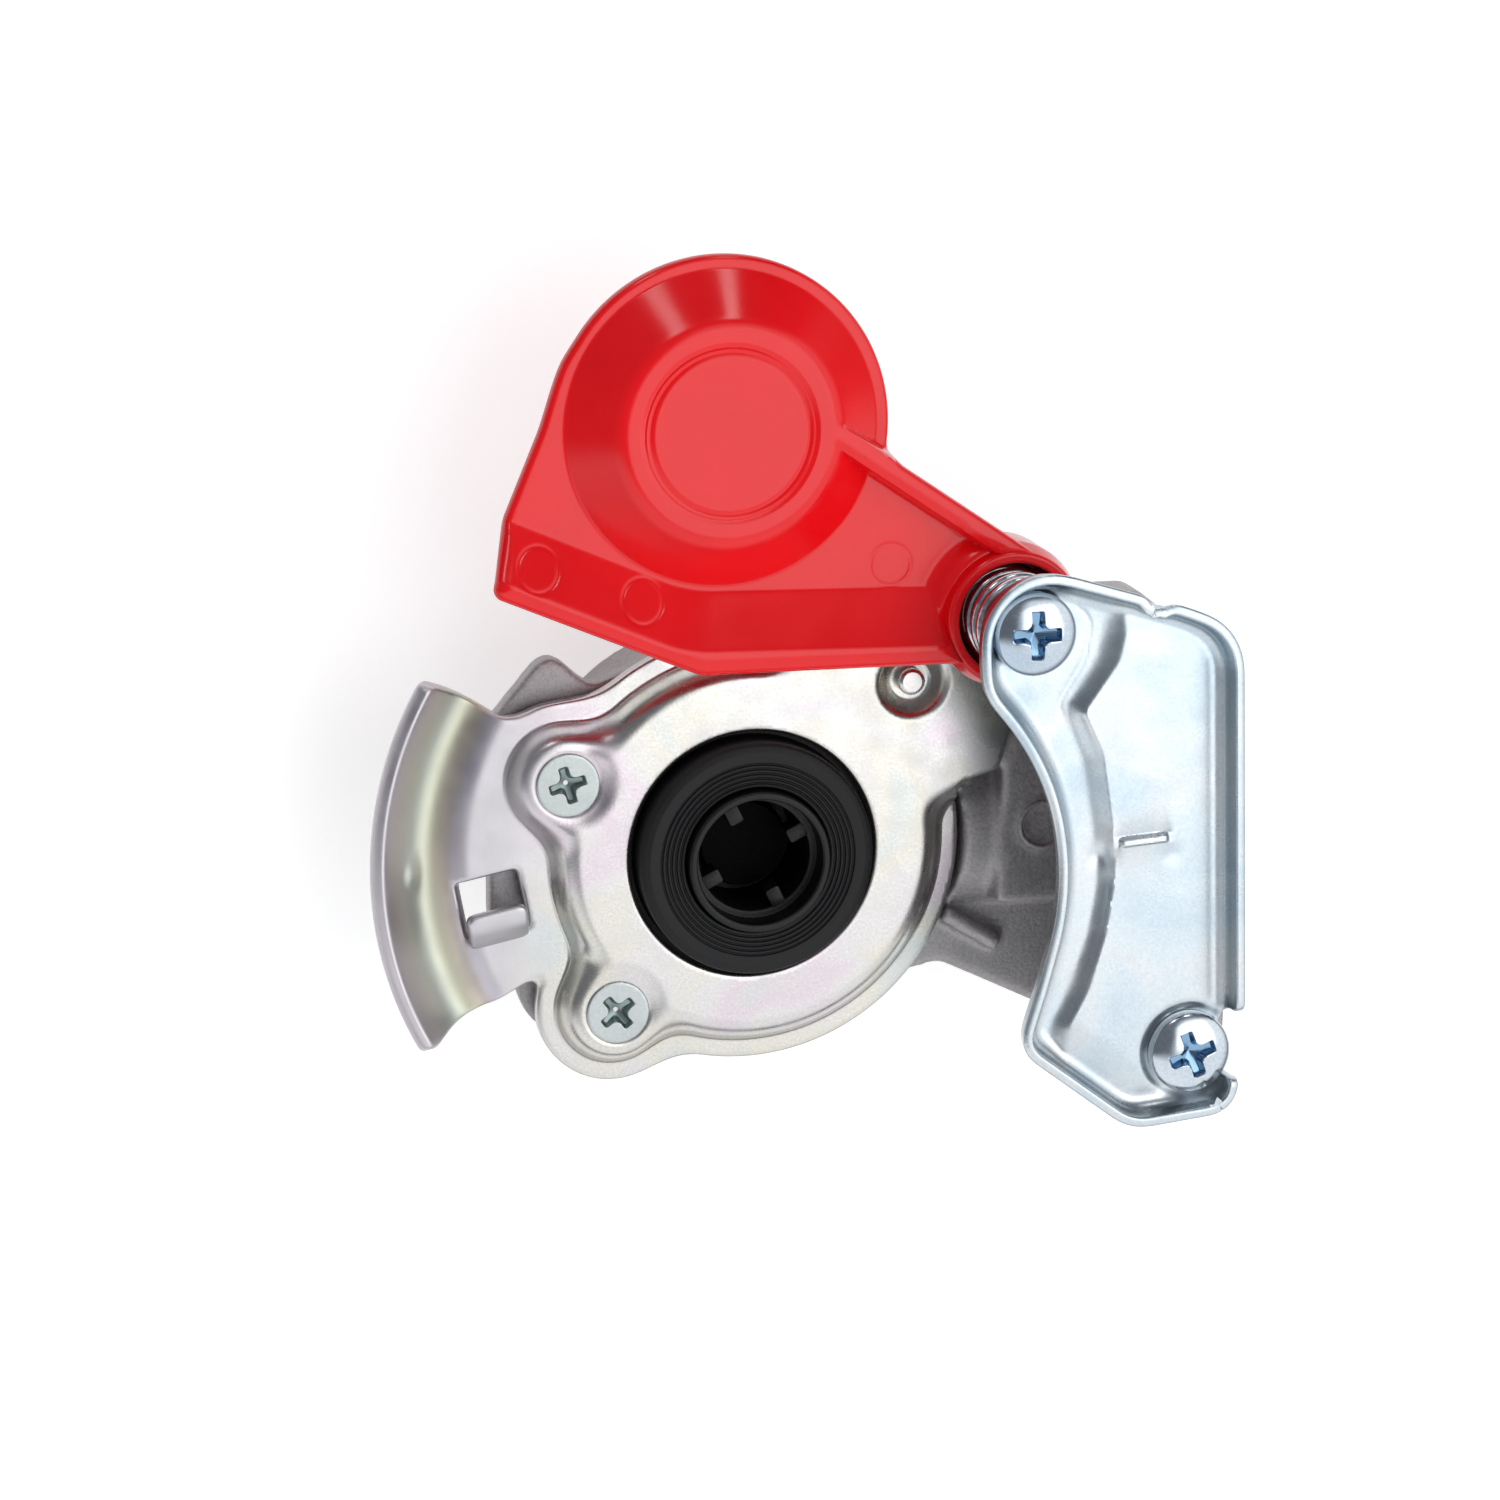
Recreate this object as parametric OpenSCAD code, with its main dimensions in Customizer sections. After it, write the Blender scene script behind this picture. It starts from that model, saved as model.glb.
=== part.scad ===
// Palm coupling head for a trailer air brake line, lying face up.
// The seal axis is Z, and heights count from the flat face of the coupling plate.

/* [Coupling plate] */
// Thickness of the pressed plate
sheet_t = 2.5; // [2:0.1:3]
// Radius of the raised round pad of the plate
pad_r = 30; // [29:0.1:33]
// Width of the rim flange outside the pad's shoulder
rim_w = 2.2; // [1:0.1:3]
// Drop from the flat face to the rim flange and the neck
shoulder_drop = 4; // [3:0.1:5]
// Radius of the hole that the face seal stands in
face_hole_r = 18.3; // [17.8:0.1:19.5]
// Radius of the raised boss round each plate screw
screw_boss_r = 9.2; // [8.5:0.1:10.5]
// Radius of the plate's flat ear under the hinge
hinge_pad_r = 6.8; // [6:0.1:8]
// Radius of the claw's outer edge about the seal axis
claw_r = 55; // [53:0.5:58]
// Radius of the claw's inner bend, where the trough starts
claw_bend_r = 42.5; // [41:0.5:44]
// Depth of the claw's trough below the neck
trough_depth = 2; // [1:0.1:3]
// Height of the claw's lip above the trough
lip_rise = 6.4; // [4:0.1:7]
// Direction where the claw starts
claw_start = 151; // [145:1:155]
// Angle that the claw spans
claw_sweep = 60; // [55:1:65]
// Length of the window in the neck
window_l = 9.6; // [8:0.1:11]
// Width of the window in the neck
window_w = 9; // [8:0.1:10]
// Length of the tongue that is bent up at the window
tongue_l = 6; // [4:0.1:7]
// Angle of the bent tongue above the neck
tongue_angle = 40; // [20:1:60]
// Radius of the pressed dimple for the locating pin
dimple_r = 4.8; // [4:0.1:6]
// Radius of the locating pin
pin_r = 2; // [1.5:0.1:2.5]

/* [Seal and valve] */
// Radius of the rubber that stands through the plate
seal_r = 17.3; // [16.5:0.1:17.6]
// Height of the rubber above the face
seal_stand = 3.5; // [2.5:0.1:4]
// Radius of the seal's clamped flange
seal_flange_r = 20.3; // [19.5:0.1:21]
// Thickness of the seal's clamped flange
seal_flange_t = 3.1; // [2.5:0.1:4]
// Outer radius of the sleeve's lip
lip_r = 10.5; // [10:0.1:11]
// Bore radius at the sleeve's lip
lip_bore_r = 9.3; // [9:0.1:9.5]
// Height of the sleeve's lip above the face
lip_stand = 5; // [4:0.1:5.5]
// Radius of the air way below the lip
flow_r = 8.2; // [7.8:0.1:8.6]
// Radius inside the sleeve's guide ribs
rib_bore_r = 5.6; // [5.2:0.1:6]
// Width of a guide rib
rib_w = 2.2; // [1.5:0.1:3]
// Travel of the sleeve when two heads are coupled
valve_travel = 3; // [2:0.1:3]
// Bore radius of the valve chamber
chamber_bore_r = 15; // [14.8:0.1:16]

/* [Guide bracket] */
// Thickness of the bracket's sheet
bracket_t = 1.5; // [1.2:0.1:2]
// Height of the bracket's underside above the face
bracket_gap = 18.2; // [17.5:0.1:20]
// Height of the bracket's turned up flange above its floor
flange_h = 4.5; // [4:0.1:6]
// Rise of the bracket's pressed plateau above its floor
plateau_rise = 2.2; // [1.5:0.1:2.6]
// Radius of the bracket's inner arc about the seal axis
arc_r = 39; // [38:0.5:40]
// Radius of the bracket's ear round the hinge
ear_r = 9.9; // [9:0.1:11]
// Radius of the pan heads
pan_head_r = 6; // [5.5:0.1:6.5]
// Height of the pan heads
pan_head_h = 3.6; // [3:0.1:4.2]
// Radius of the bracket screws' shanks
pan_shank_r = 3; // [2.8:0.1:3.2]

/* [Dust flap] */
// Distance from the hinge to the centre of the cup
flap_arm = 51; // [50:0.1:52]
// Direction from the hinge to the cup with the flap open
open_dir = 147.3; // [140:0.1:160]
// Radius of the flap's round rim
flap_r = 24.3; // [23.5:0.1:26]
// Thickness of the flap's web
web_t = 2.4; // [2:0.1:3]
// Radius of the cup's foot
cup_r = 22.4; // [21:0.1:23]
// Radius of the cup's flat top
cup_top_r = 15.5; // [14:0.1:17]
// Height of the cup above the web
cup_h = 5.6; // [4:0.1:6]
// Radius of the hinge boss
flap_boss_r = 10.7; // [10:0.1:11.5]
// Radius of the spring pocket in the boss
pocket_r = 8.2; // [8:0.1:8.6]
// Width of the upturned grip
grip_w = 9.8; // [9:0.1:11]
// Rise of the upturned grip
grip_rise = 5; // [3:0.1:6]
// Thickness of the stiffening rib beside the arm
flap_rib_w = 3.2; // [2:0.1:4]
// Radius of the hinge sleeve
sleeve_r = 4.5; // [4.2:0.1:5]
// Mean radius of the flap spring
flap_spring_r = 6.5; // [6.2:0.1:6.7]
// Radius of the flap spring's wire
flap_wire_r = 0.8; // [0.6:0.1:1]

/* [Casting] */
// Depth of the casting's resting face below the coupling face
casting_depth = 32; // [30:0.5:36]
// Outer radius of the valve chamber
chamber_r = 29; // [27:0.5:29.5]
// Thickness of the chamber's floor
floor_t = 5; // [5:0.1:6]
// Depth of the port axis below the face
port_depth = 17; // [16.5:0.1:18]
// Distance of the port's mouth from the seal axis
port_reach = 70; // [69:0.5:76]
// Core radius of the port's M22 x 1.5 thread
port_r = 10.19; // [9:0.01:10.5]
// Length of the port's thread
port_thread_l = 15; // [12:0.5:18]
// Radius of the passage from the port to the chamber
passage_r = 7.5; // [6:0.1:8]
// Thickness of the arm's web
arm_t = 9; // [7:0.1:11]
// Radius of the claw's way under the bracket
claw_way_r = 57.5; // [57:0.5:60]

/* [Hidden] */
$fn = 64;

// Clearances: a running fit, a loose fit, a slack fit, the room between moving pieces,
// the room under the plate, and the reach of a cut
run_gap = 0.05;
fit_gap = 0.1;
slack = 0.3;
free_gap = 0.4;
plate_gap = 0.7;
cut = 1;
// Depth by which one form is set into the next, and the size of a broken edge
root = 0.4;
edge = 0.6;

// Places of the screws, the pin and the hinge about the seal axis
plate_screw_at = [[-27.5, 11], [-19.4, -23.4]];
pin_at = [23.2, 25];
hinge_at = [34.6, 36.6];
low_screw_at = [61, -26.2];
window_at = [-37.6, -7.6];
window_turn = 13;
mark_at = [44.5, 2.5];
mark_r = 3.7;
arm_rib_at = [29.5, -12.2];
arm_rib = [11, 2.4, 3];

// Depth of the pin's dimple, and the wall that the plate has round it
dimple_depth = 2.4;
dimple_wall = sheet_t + 1;

// Countersunk plate screws, M5
csk_head_r = 4.65;
csk_shank_r = 2.5;
csk_cone_h = 2.2;
csk_sink = 0.5;
csk_flare = 1.6;
plate_screw_l = 16;
recess_w = 1.3;
recess_depth = 1.8;

// Levels of the plate, the casting and the valve
rim_top = -shoulder_drop;
rim_bottom = rim_top - sheet_t;
deck_top = -sheet_t;
arm_top = rim_bottom - plate_gap;
arm_bottom = arm_top - arm_t;
casting_bottom = -casting_depth;
chamber_floor = casting_bottom + floor_t;
block_top = -2;
seal_bottom = -sheet_t - slack - seal_flange_t;
seat_floor = seal_bottom - fit_gap;
shoulder_top = seal_bottom - free_gap;
shoulder_h = 7.6;
shoulder_bottom = shoulder_top - shoulder_h;
sleeve_shoulder_r = chamber_bore_r - 0.5;
lip_depth = 3.8;
rib_top = lip_stand - lip_depth;
seat_r = 5;
seat_t = 3;
seat_top = shoulder_bottom + seat_t;
tail_t = 2;
tail_l = 4;
tail_r = flow_r + tail_t;
tail_bottom = shoulder_bottom - tail_l;
stem_head_r = 6.8;
stem_head_h = 2;
stem_shaft_r = 3;
stem_flange_r = 7;
stem_flange_h = 2;
stem_thread_r = 4;
blind_t = 1.6;
stem_thread_l = floor_t - blind_t;
stem_seal_t = 2.6;
stem_seal_bottom = seat_top + slack;
stem_head_bottom = stem_seal_bottom + stem_seal_t;
rib_l = rib_top - stem_head_bottom - stem_head_h - valve_travel - free_gap;
o_ring_r = 1;
o_ring_at = chamber_bore_r - fit_gap - o_ring_r;
o_ring_z = (shoulder_top + shoulder_bottom) / 2;
valve_wire_r = 0.8;
valve_spring_r = (tail_r + chamber_bore_r) / 2 - fit_gap;
spring_turns = 5;

// Levels of the bracket and the flap
bracket_floor = bracket_gap + bracket_t;
web_bottom = lip_stand + edge;
web_top = web_bottom + web_t;
cup_top = web_top + cup_h;
cup_wall = 2.2;
cup_groove_r = cup_top_r - 4.2;
boss_gap = 6.2;
boss_top = bracket_gap - boss_gap;
pocket_floor = 3.2;
flap_bore_r = sleeve_r + run_gap;
blind_l = 2;
pan_screw_l = bracket_floor - arm_bottom - blind_l;
pin_l = 12;

// Corners of the plate's flat ear at the hinge, each with its rounding
plate_ear = [
    [20, 0, 0.1], [30, 6.5, 5], [37, 11.4, 2], [39, 18, 4],
    [hinge_at[0] + hinge_pad_r - 0.1, hinge_at[1] - 1, 0.1],
    [hinge_at[0] - 3, hinge_at[1] + hinge_pad_r - 0.8, 0.1], [6, pad_r - 1.4, 0.1], [0, 20, 0.1]
];
// Corners of the bracket's outline
bracket_corners = [
    [34.6, -24.8, 3], [51.4, -37, 5], [66.2, -37, 2.5], [68.2, -31.5, 2], [68.4, -20, 2],
    [65, 37.4, 9], [56, 40.6, 10], [hinge_at[0] + 1, hinge_at[1] + ear_r - 0.3, 1],
    [hinge_at[0] - ear_r + 0.5, hinge_at[1] - 2, 1], [26.4, 27.5, 3], [30, -15, 1]
];
// Corners of the plateau that is pressed up in the bracket's floor
plateau_corners = [
    [42.6, -21, 2], [51.6, -31.8, 2], [60.4, -32, 1], [60.4, 33, 4], [56, 37, 4], [48.8, 38.8, 3],
    [47.9, 32.5, 6], [42.8, 24.8, 2], [45.6, 18.6, 8], [47.6, 8, 10], [47.8, -2, 10], [46, -12, 8]
];
// Radius of the low dish in the plateau round the lower screw
screw_dish_r = 8.5;
// The gap in the bracket's flange beside the lower screw
flange_gap = [-30.5, -19.5];
// Corners of the casting's platform under the neck, with the lug at its upper end
platform_corners = [
    [-20, -31, 8], [0, -20, 1], [0, 20, 1], [-12, 28.6, 3], [-23, 23.8, 3], [-29.4, 29.4, 3],
    [-38, 18.6, 2], [-37.4, -10, 6], [-31, -27, 8]
];
platform_t = 4;
// Screw bosses under the arm, and the draft of the casting's sides
boss_r = 6.2;
boss_l = 4;
draft = 1.5;
// Length of the hexagon at the port's mouth
port_hex_l = 16;
// Corners of the arm's web
arm_corners = [
    [0, -28, 1], [31, -19.6, 4], [47, -27, 6], [57, -35.4, 5], [66.5, -34.5, 5], [66, 20, 8],
    [64.8, 32.4, 2.5], [59.6, 36.4, 2.5], [48.6, 36, 4], [42, 30, 3], [hinge_at[0] + 5.6, hinge_at[1], 3],
    [hinge_at[0], hinge_at[1] + 5.6, 4], [hinge_at[0] - 5.6, hinge_at[1], 3], [0, 28, 1]
];
// The wall's upper block, under the bracket's corner
block_corners = [[46, 34, 1], [62.6, 20, 1], [62.6, 32, 3], [58, 35.8, 3], [50.4, 35.8, 2]];
// Where the wall that carries the bracket starts and ends
wall_ends = [-30, 25];
// The raised block on the arm, beside the plate
step_corners = [[38, -9.5, 1], [60, -9.5, 1], [60, 25, 4], [38, 25, 1]];
// Corners of the flap's web, with the hinge at zero and X towards the cup
web_corners = [
    [0, -9.3, 1], [flap_arm, -9.3, 1], [flap_arm + flap_r - 0.2, 2, 4], [flap_arm + 19, 27, 1],
    [flap_arm - 9, 21.8, 1], [12, 2.6, 1], [0, 2.6, 1]
];
flap_rib_at = -9.2;
grip_path = [[8.5, 0], [flap_arm - 9, 21.6], [flap_arm + 17.8, 26.6]];

function unit(v) = v / norm(v);
function left_of(v) = [-v[1], v[0]];
// The step that moves a corner between two unit normals by one unit
function mitre(n, m) = (n + m) / (1 + n * m);

// A corner a, b, c replaced by an arc of radius b[2], after moving the outline inwards by d
function corner_arc(a, b, c, d) =
    let (
        u = unit([b[0] - a[0], b[1] - a[1]]),
        w = unit([c[0] - b[0], c[1] - b[1]]),
        n = left_of(u),
        m = left_of(w),
        turn = atan2(u[0] * w[1] - u[1] * w[0], u * w),
        side = turn < 0 ? -1 : 1,
        r = max(0.05, b[2] - side * d),
        centre = [b[0], b[1]] + (d + side * r) * mitre(n, m),
        steps = max(1, ceil(abs(turn) / 12))
    )
    [for (k = [0 : steps]) let (a = abs(turn) * k / steps) centre + r * (u * sin(a) - side * n * cos(a))];

// An anticlockwise outline with rounded corners, moved inwards by d
function outline(corners, d = 0) =
    let (n = len(corners))
    [for (i = [0 : n - 1]) each corner_arc(corners[(i + n - 1) % n], corners[i], corners[(i + 1) % n], d)];

// The sheet of thickness t to the right of an open path
function sheet_section(path, t) =
    let (
        n = len(path),
        sides = [for (i = [0 : n - 2]) -left_of(unit(path[i + 1] - path[i]))],
        steps = [for (i = [0 : n - 1]) mitre(sides[max(0, i - 1)], sides[min(n - 2, i)])]
    )
    concat(path, [for (i = [n - 1 : -1 : 0]) path[i] + t * steps[i]]);

// A closed tube of rings, each ring a list of points
module skin(rings) {
    n = len(rings[0]);
    last = len(rings) - 1;
    faces = concat(
        [[for (k = [n - 1 : -1 : 0]) k]],
        [for (i = [0 : last - 1], k = [0 : n - 1]) let (j = (k + 1) % n)
            [i * n + k, i * n + j, (i + 1) * n + j, (i + 1) * n + k]],
        [[for (k = [0 : n - 1]) last * n + k]]
    );
    polyhedron([for (ring = rings) each ring], faces, convexity = 8);
}

// A clockwise section of sideways and upwards steps carried along a flat path with mitred corners
module ribbon(path, section) {
    n = len(path);
    sides = [for (i = [0 : n - 2]) left_of(unit(path[i + 1] - path[i]))];
    skin([for (i = [0 : n - 1])
        let (step = mitre(sides[max(0, i - 1)], sides[min(n - 2, i)]))
        [for (p = section) [path[i][0] + p[0] * step[0], path[i][1] + p[0] * step[1], p[1]]]]);
}

// A compression spring with one closed turn at each end
module coil(mean_r, wire_r, low, high, turns) {
    per_turn = 20;
    sides = 8;
    start = low + wire_r;
    closed = 2 * wire_r + fit_gap;
    open = (high - low - 2 * wire_r - 2 * closed) / (turns - 2);
    function rise(t) = t < 1 ? closed * t : t < turns - 1 ? closed + open * (t - 1)
        : closed + open * (turns - 2) + closed * (t - turns + 1);
    skin([for (i = [0 : turns * per_turn])
        let (t = i / per_turn, a = 360 * t)
        [for (k = [0 : sides - 1])
            let (b = 360 * k / sides, r = mean_r + wire_r * cos(b))
            [r * cos(a), r * sin(a), start + rise(t) + wire_r * sin(b)]]]);
}

// The crossed slots of a screw's drive
module cross_recess(top, length, width, depth) {
    for (turn = [0, 90])
        rotate(turn)
            translate([-length / 2, -width / 2, top - depth])
                cube([length, width, depth + cut]);
}

// Raised pad of the plate seen from above, grown sideways
module pad_outline(grow) {
    circle(r = pad_r + grow);
    for (at = plate_screw_at)
        translate(at)
            circle(r = screw_boss_r + grow);
    translate(pin_at)
        circle(r = dimple_r + dimple_wall + grow);
}

// Flat ear of the plate seen from above, grown sideways
module ear_outline(grow) {
    translate(hinge_at)
        circle(r = hinge_pad_r + grow);
    polygon(outline(plate_ear, -grow));
}

// Bracket seen from above, moved inwards by d
module bracket_outline(d) {
    difference() {
        polygon(outline(bracket_corners, d));
        circle(r = arc_r + d);
    }
    translate(hinge_at)
        circle(r = ear_r - d);
}

// Plateau of the bracket seen from above, moved inwards by d
module plateau_outline(d) {
    difference() {
        polygon(outline(plateau_corners, d));
        translate(low_screw_at)
            circle(r = screw_dish_r + d);
    }
}

// Plate
module claw() {
    trough_top = rim_top - trough_depth;
    claw_w = claw_r - claw_bend_r;
    path = [
        [claw_bend_r - 2 * root, rim_top - root], [claw_bend_r + claw_w * 0.24, trough_top],
        [claw_r - claw_w * 0.48, trough_top], [claw_r - claw_w * 0.11, trough_top + lip_rise - edge],
        [claw_r, trough_top + lip_rise]
    ];
    rotate(claw_start)
        rotate_extrude(angle = claw_sweep, $fn = 180)
            polygon(sheet_section(path, sheet_t));
}

// Neck seen from above, out to the claw's bend
module neck_outline() {
    reach = 2 * claw_bend_r;
    neck_turn = 1;
    intersection() {
        circle(r = claw_bend_r, $fn = 180);
        rotate(claw_start + neck_turn)
            polygon([[0, 0], [reach, 0], reach * [cos(claw_sweep), sin(claw_sweep)]]);
    }
}

module tongue() {
    translate([window_at[0], window_at[1], rim_bottom + root])
        rotate(window_turn)
            translate([0, -window_w / 2, 0])
                rotate([tongue_angle, 0, 0])
                    translate([-window_l / 2 + root, -root, 0])
                        cube([window_l - 2.5 * root, tongue_l + root, sheet_t]);
}

module plate_hole(at, r) {
    translate([at[0], at[1], rim_bottom - cut])
        cylinder(r = r, h = shoulder_drop + sheet_t + 2 * cut);
}

module coupling_plate() color([0.80, 0.80, 0.77]) {
    difference() {
        union() {
            translate([0, 0, -sheet_t])
                linear_extrude(sheet_t) {
                    pad_outline(0);
                    ear_outline(0);
                }
            translate([0, 0, rim_bottom])
                linear_extrude(-rim_bottom)
                    difference() {
                        pad_outline(0);
                        pad_outline(-sheet_t);
                        ear_outline(0);
                    }
            translate([0, 0, rim_bottom])
                linear_extrude(sheet_t)
                    difference() {
                        union() {
                            pad_outline(rim_w);
                            neck_outline();
                        }
                        pad_outline(-sheet_t / 2);
                        ear_outline(0);
                    }
            claw();
            translate([pin_at[0], pin_at[1], rim_bottom])
                cylinder(r = dimple_r + sheet_t, h = -rim_bottom);
        }
        plate_hole([0, 0], face_hole_r);
        plate_hole(hinge_at, pan_shank_r + fit_gap);
        plate_hole(pin_at, pin_r + run_gap);
        translate([pin_at[0], pin_at[1], -dimple_depth])
            cylinder(r1 = dimple_r - 1.4, r2 = dimple_r, h = dimple_depth);
        for (at = plate_screw_at) {
            plate_hole(at, csk_shank_r + fit_gap);
            translate([at[0], at[1], -csk_sink - csk_cone_h])
                cylinder(r1 = csk_shank_r + fit_gap, r2 = csk_head_r + fit_gap, h = csk_cone_h);
            translate([at[0], at[1], -csk_sink])
                cylinder(r1 = csk_head_r + fit_gap, r2 = csk_head_r + csk_flare, h = csk_sink + cut);
        }
        translate([window_at[0], window_at[1], rim_bottom - cut])
            rotate(window_turn)
                translate([-window_l / 2, -window_w / 2, 0])
                    cube([window_l, window_w, sheet_t + 2 * cut]);
    }
    tongue();
}

module plate_screws() color([0.78, 0.79, 0.80]) {
    for (at = plate_screw_at)
        translate(at)
            difference() {
                union() {
                    translate([0, 0, -csk_sink - csk_cone_h])
                        cylinder(r1 = csk_shank_r, r2 = csk_head_r, h = csk_cone_h);
                    translate([0, 0, -csk_sink - plate_screw_l])
                        cylinder(r = csk_shank_r, h = plate_screw_l - csk_cone_h / 2);
                }
                cross_recess(-csk_sink, csk_head_r * 1.1, recess_w, recess_depth);
            }
}

module locating_pin() color([0.72, 0.72, 0.72]) {
    translate([pin_at[0], pin_at[1], -pin_l]) {
        cylinder(r = pin_r, h = pin_l - edge);
        translate([0, 0, pin_l - edge])
            cylinder(r1 = pin_r, r2 = pin_r - edge, h = edge - fit_gap);
    }
}

// Seal and valve
module seal_ring() color([0.06, 0.06, 0.06]) {
    inner = lip_r + slack;
    shoulder = 1;
    groove_w = 0.7;
    groove_depth = 0.8;
    groove_step = 1.5;
    grooves = [for (k = [0 : 2]) inner + groove_step * (k + 1)];
    rotate_extrude()
        polygon(concat(
            [
                [inner, seal_bottom], [seal_flange_r, seal_bottom], [seal_flange_r, -sheet_t - slack],
                [seal_r, -sheet_t - slack], [seal_r, seal_stand - shoulder], [seal_r - shoulder, seal_stand]
            ],
            [for (k = [2 : -1 : 0]) each [
                [grooves[k] + groove_w, seal_stand], [grooves[k] + groove_w / 2, seal_stand - groove_depth],
                [grooves[k], seal_stand]
            ]],
            [[inner, seal_stand]]
        ));
}

module valve_sleeve() color([0.08, 0.08, 0.08]) {
    groove_r = o_ring_at - o_ring_r - run_gap;
    groove_h = 2 * o_ring_r + 2 * run_gap;
    rotate_extrude()
        polygon([
            [lip_bore_r, lip_stand], [lip_bore_r, rib_top], [flow_r, rib_top], [flow_r, seat_top],
            [seat_r, seat_top], [seat_r, shoulder_bottom], [flow_r, shoulder_bottom - 1],
            [flow_r, tail_bottom], [tail_r, tail_bottom], [tail_r, shoulder_bottom],
            [sleeve_shoulder_r, shoulder_bottom], [sleeve_shoulder_r, o_ring_z - groove_h / 2],
            [groove_r, o_ring_z - groove_h / 2], [groove_r, o_ring_z + groove_h / 2],
            [sleeve_shoulder_r, o_ring_z + groove_h / 2], [sleeve_shoulder_r, shoulder_top],
            [lip_r, shoulder_top], [lip_r, lip_stand]
        ]);
    for (turn = [28 : 90 : 298])
        rotate(turn)
            translate([rib_bore_r, -rib_w / 2, rib_top - rib_l])
                cube([flow_r - rib_bore_r + root, rib_w, rib_l]);
}

module valve_o_ring() color([0.04, 0.04, 0.04]) {
    translate([0, 0, o_ring_z])
        rotate_extrude()
            translate([o_ring_at, 0])
                circle(r = o_ring_r, $fn = 32);
}

module valve_spring() color([0.6, 0.6, 0.62]) {
    coil(valve_spring_r, valve_wire_r, chamber_floor + run_gap, shoulder_bottom - run_gap, spring_turns);
}

module valve_stem() color([0.12, 0.12, 0.12]) {
    translate([0, 0, chamber_floor - stem_thread_l])
        cylinder(r = stem_thread_r, h = stem_thread_l + cut);
    translate([0, 0, chamber_floor])
        cylinder(r = stem_flange_r, h = stem_flange_h);
    translate([0, 0, chamber_floor])
        cylinder(r = stem_shaft_r, h = stem_head_bottom - chamber_floor + cut);
    translate([0, 0, stem_head_bottom])
        cylinder(r1 = stem_head_r, r2 = stem_head_r - edge, h = stem_head_h);
}

module stem_seal() color([0.05, 0.05, 0.05]) {
    rotate_extrude()
        polygon([
            [stem_shaft_r + run_gap, stem_seal_bottom], [stem_head_r - slack - edge, stem_seal_bottom],
            [stem_head_r - slack, stem_seal_bottom + edge], [stem_head_r - slack, stem_head_bottom],
            [stem_shaft_r + run_gap, stem_head_bottom]
        ]);
}

// Bracket and its screws
module guide_bracket() color([0.74, 0.78, 0.80]) {
    difference() {
        union() {
            difference() {
                translate([0, 0, bracket_gap])
                    linear_extrude(bracket_t + flange_h)
                        bracket_outline(0);
                translate([0, 0, bracket_floor])
                    linear_extrude(flange_h + cut)
                        bracket_outline(bracket_t);
                translate([bracket_corners[4][0] - 2 * bracket_t, flange_gap[0], bracket_floor])
                    cube([4 * bracket_t, flange_gap[1] - flange_gap[0], flange_h + cut]);
            }
            translate([0, 0, bracket_floor - root])
                linear_extrude(plateau_rise + root)
                    plateau_outline(0);
        }
        translate([0, 0, bracket_gap - cut])
            linear_extrude(plateau_rise + cut)
                plateau_outline(bracket_t);
        for (at = [hinge_at, low_screw_at])
            translate([at[0], at[1], bracket_gap - cut])
                cylinder(r = pan_shank_r + fit_gap, h = bracket_t + 2 * cut);
    }
}

module pan_screw(at) {
    dome = [for (k = [0 : 8]) [pan_head_r * sin(90 - 10 * k), pan_head_h * (0.35 + 0.65 * sin(10 * k))]];
    translate([at[0], at[1], bracket_floor])
        difference() {
            union() {
                rotate_extrude()
                    polygon(concat([[0, 0], [pan_head_r, 0]], dome, [[0, pan_head_h]]));
                translate([0, 0, -pan_screw_l])
                    cylinder(r = pan_shank_r, h = pan_screw_l + cut);
            }
            cross_recess(pan_head_h, pan_head_r * 1.15, recess_w * 1.2, recess_depth * 1.2);
        }
}

module bracket_screw() color([0.72, 0.76, 0.80])
    pan_screw(low_screw_at);

module hinge_screw() color([0.72, 0.76, 0.80])
    pan_screw(hinge_at);

module hinge_sleeve() color([0.70, 0.70, 0.70]) {
    translate([hinge_at[0], hinge_at[1], 0])
        difference() {
            cylinder(r = sleeve_r, h = bracket_gap);
            translate([0, 0, -cut])
                cylinder(r = pan_shank_r + fit_gap, h = bracket_gap + 2 * cut);
        }
}

module flap_spring() color([0.75, 0.76, 0.78]) {
    translate([hinge_at[0], hinge_at[1], 0])
        coil(flap_spring_r, flap_wire_r, pocket_floor + slack, bracket_gap - run_gap, spring_turns);
}

// Flap, with the hinge at zero and X towards the cup
module flap_grip() {
    section = [
        [-0.3, web_top - 0.2], [grip_w - 2.4, web_top + grip_rise - 0.4],
        [grip_w - 1.4, web_top + grip_rise], [grip_w, web_top + grip_rise - 0.4],
        [grip_w + 0.5, web_bottom + grip_rise + 0.6], [grip_w, web_bottom + grip_rise - 0.6],
        [grip_w - 1.6, web_bottom + grip_rise - 0.8], [-0.3, web_bottom + 0.3]
    ];
    ribbon(grip_path, section);
}

module cup_body(wall, base, top) {
    rotate_extrude()
        polygon([
            [0, base], [cup_r - wall, base], [cup_r - wall, base + fit_gap],
            [cup_top_r + 2.5 * edge - wall, top - 1.5 * edge], [cup_top_r - wall, top], [0, top]
        ]);
}

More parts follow.
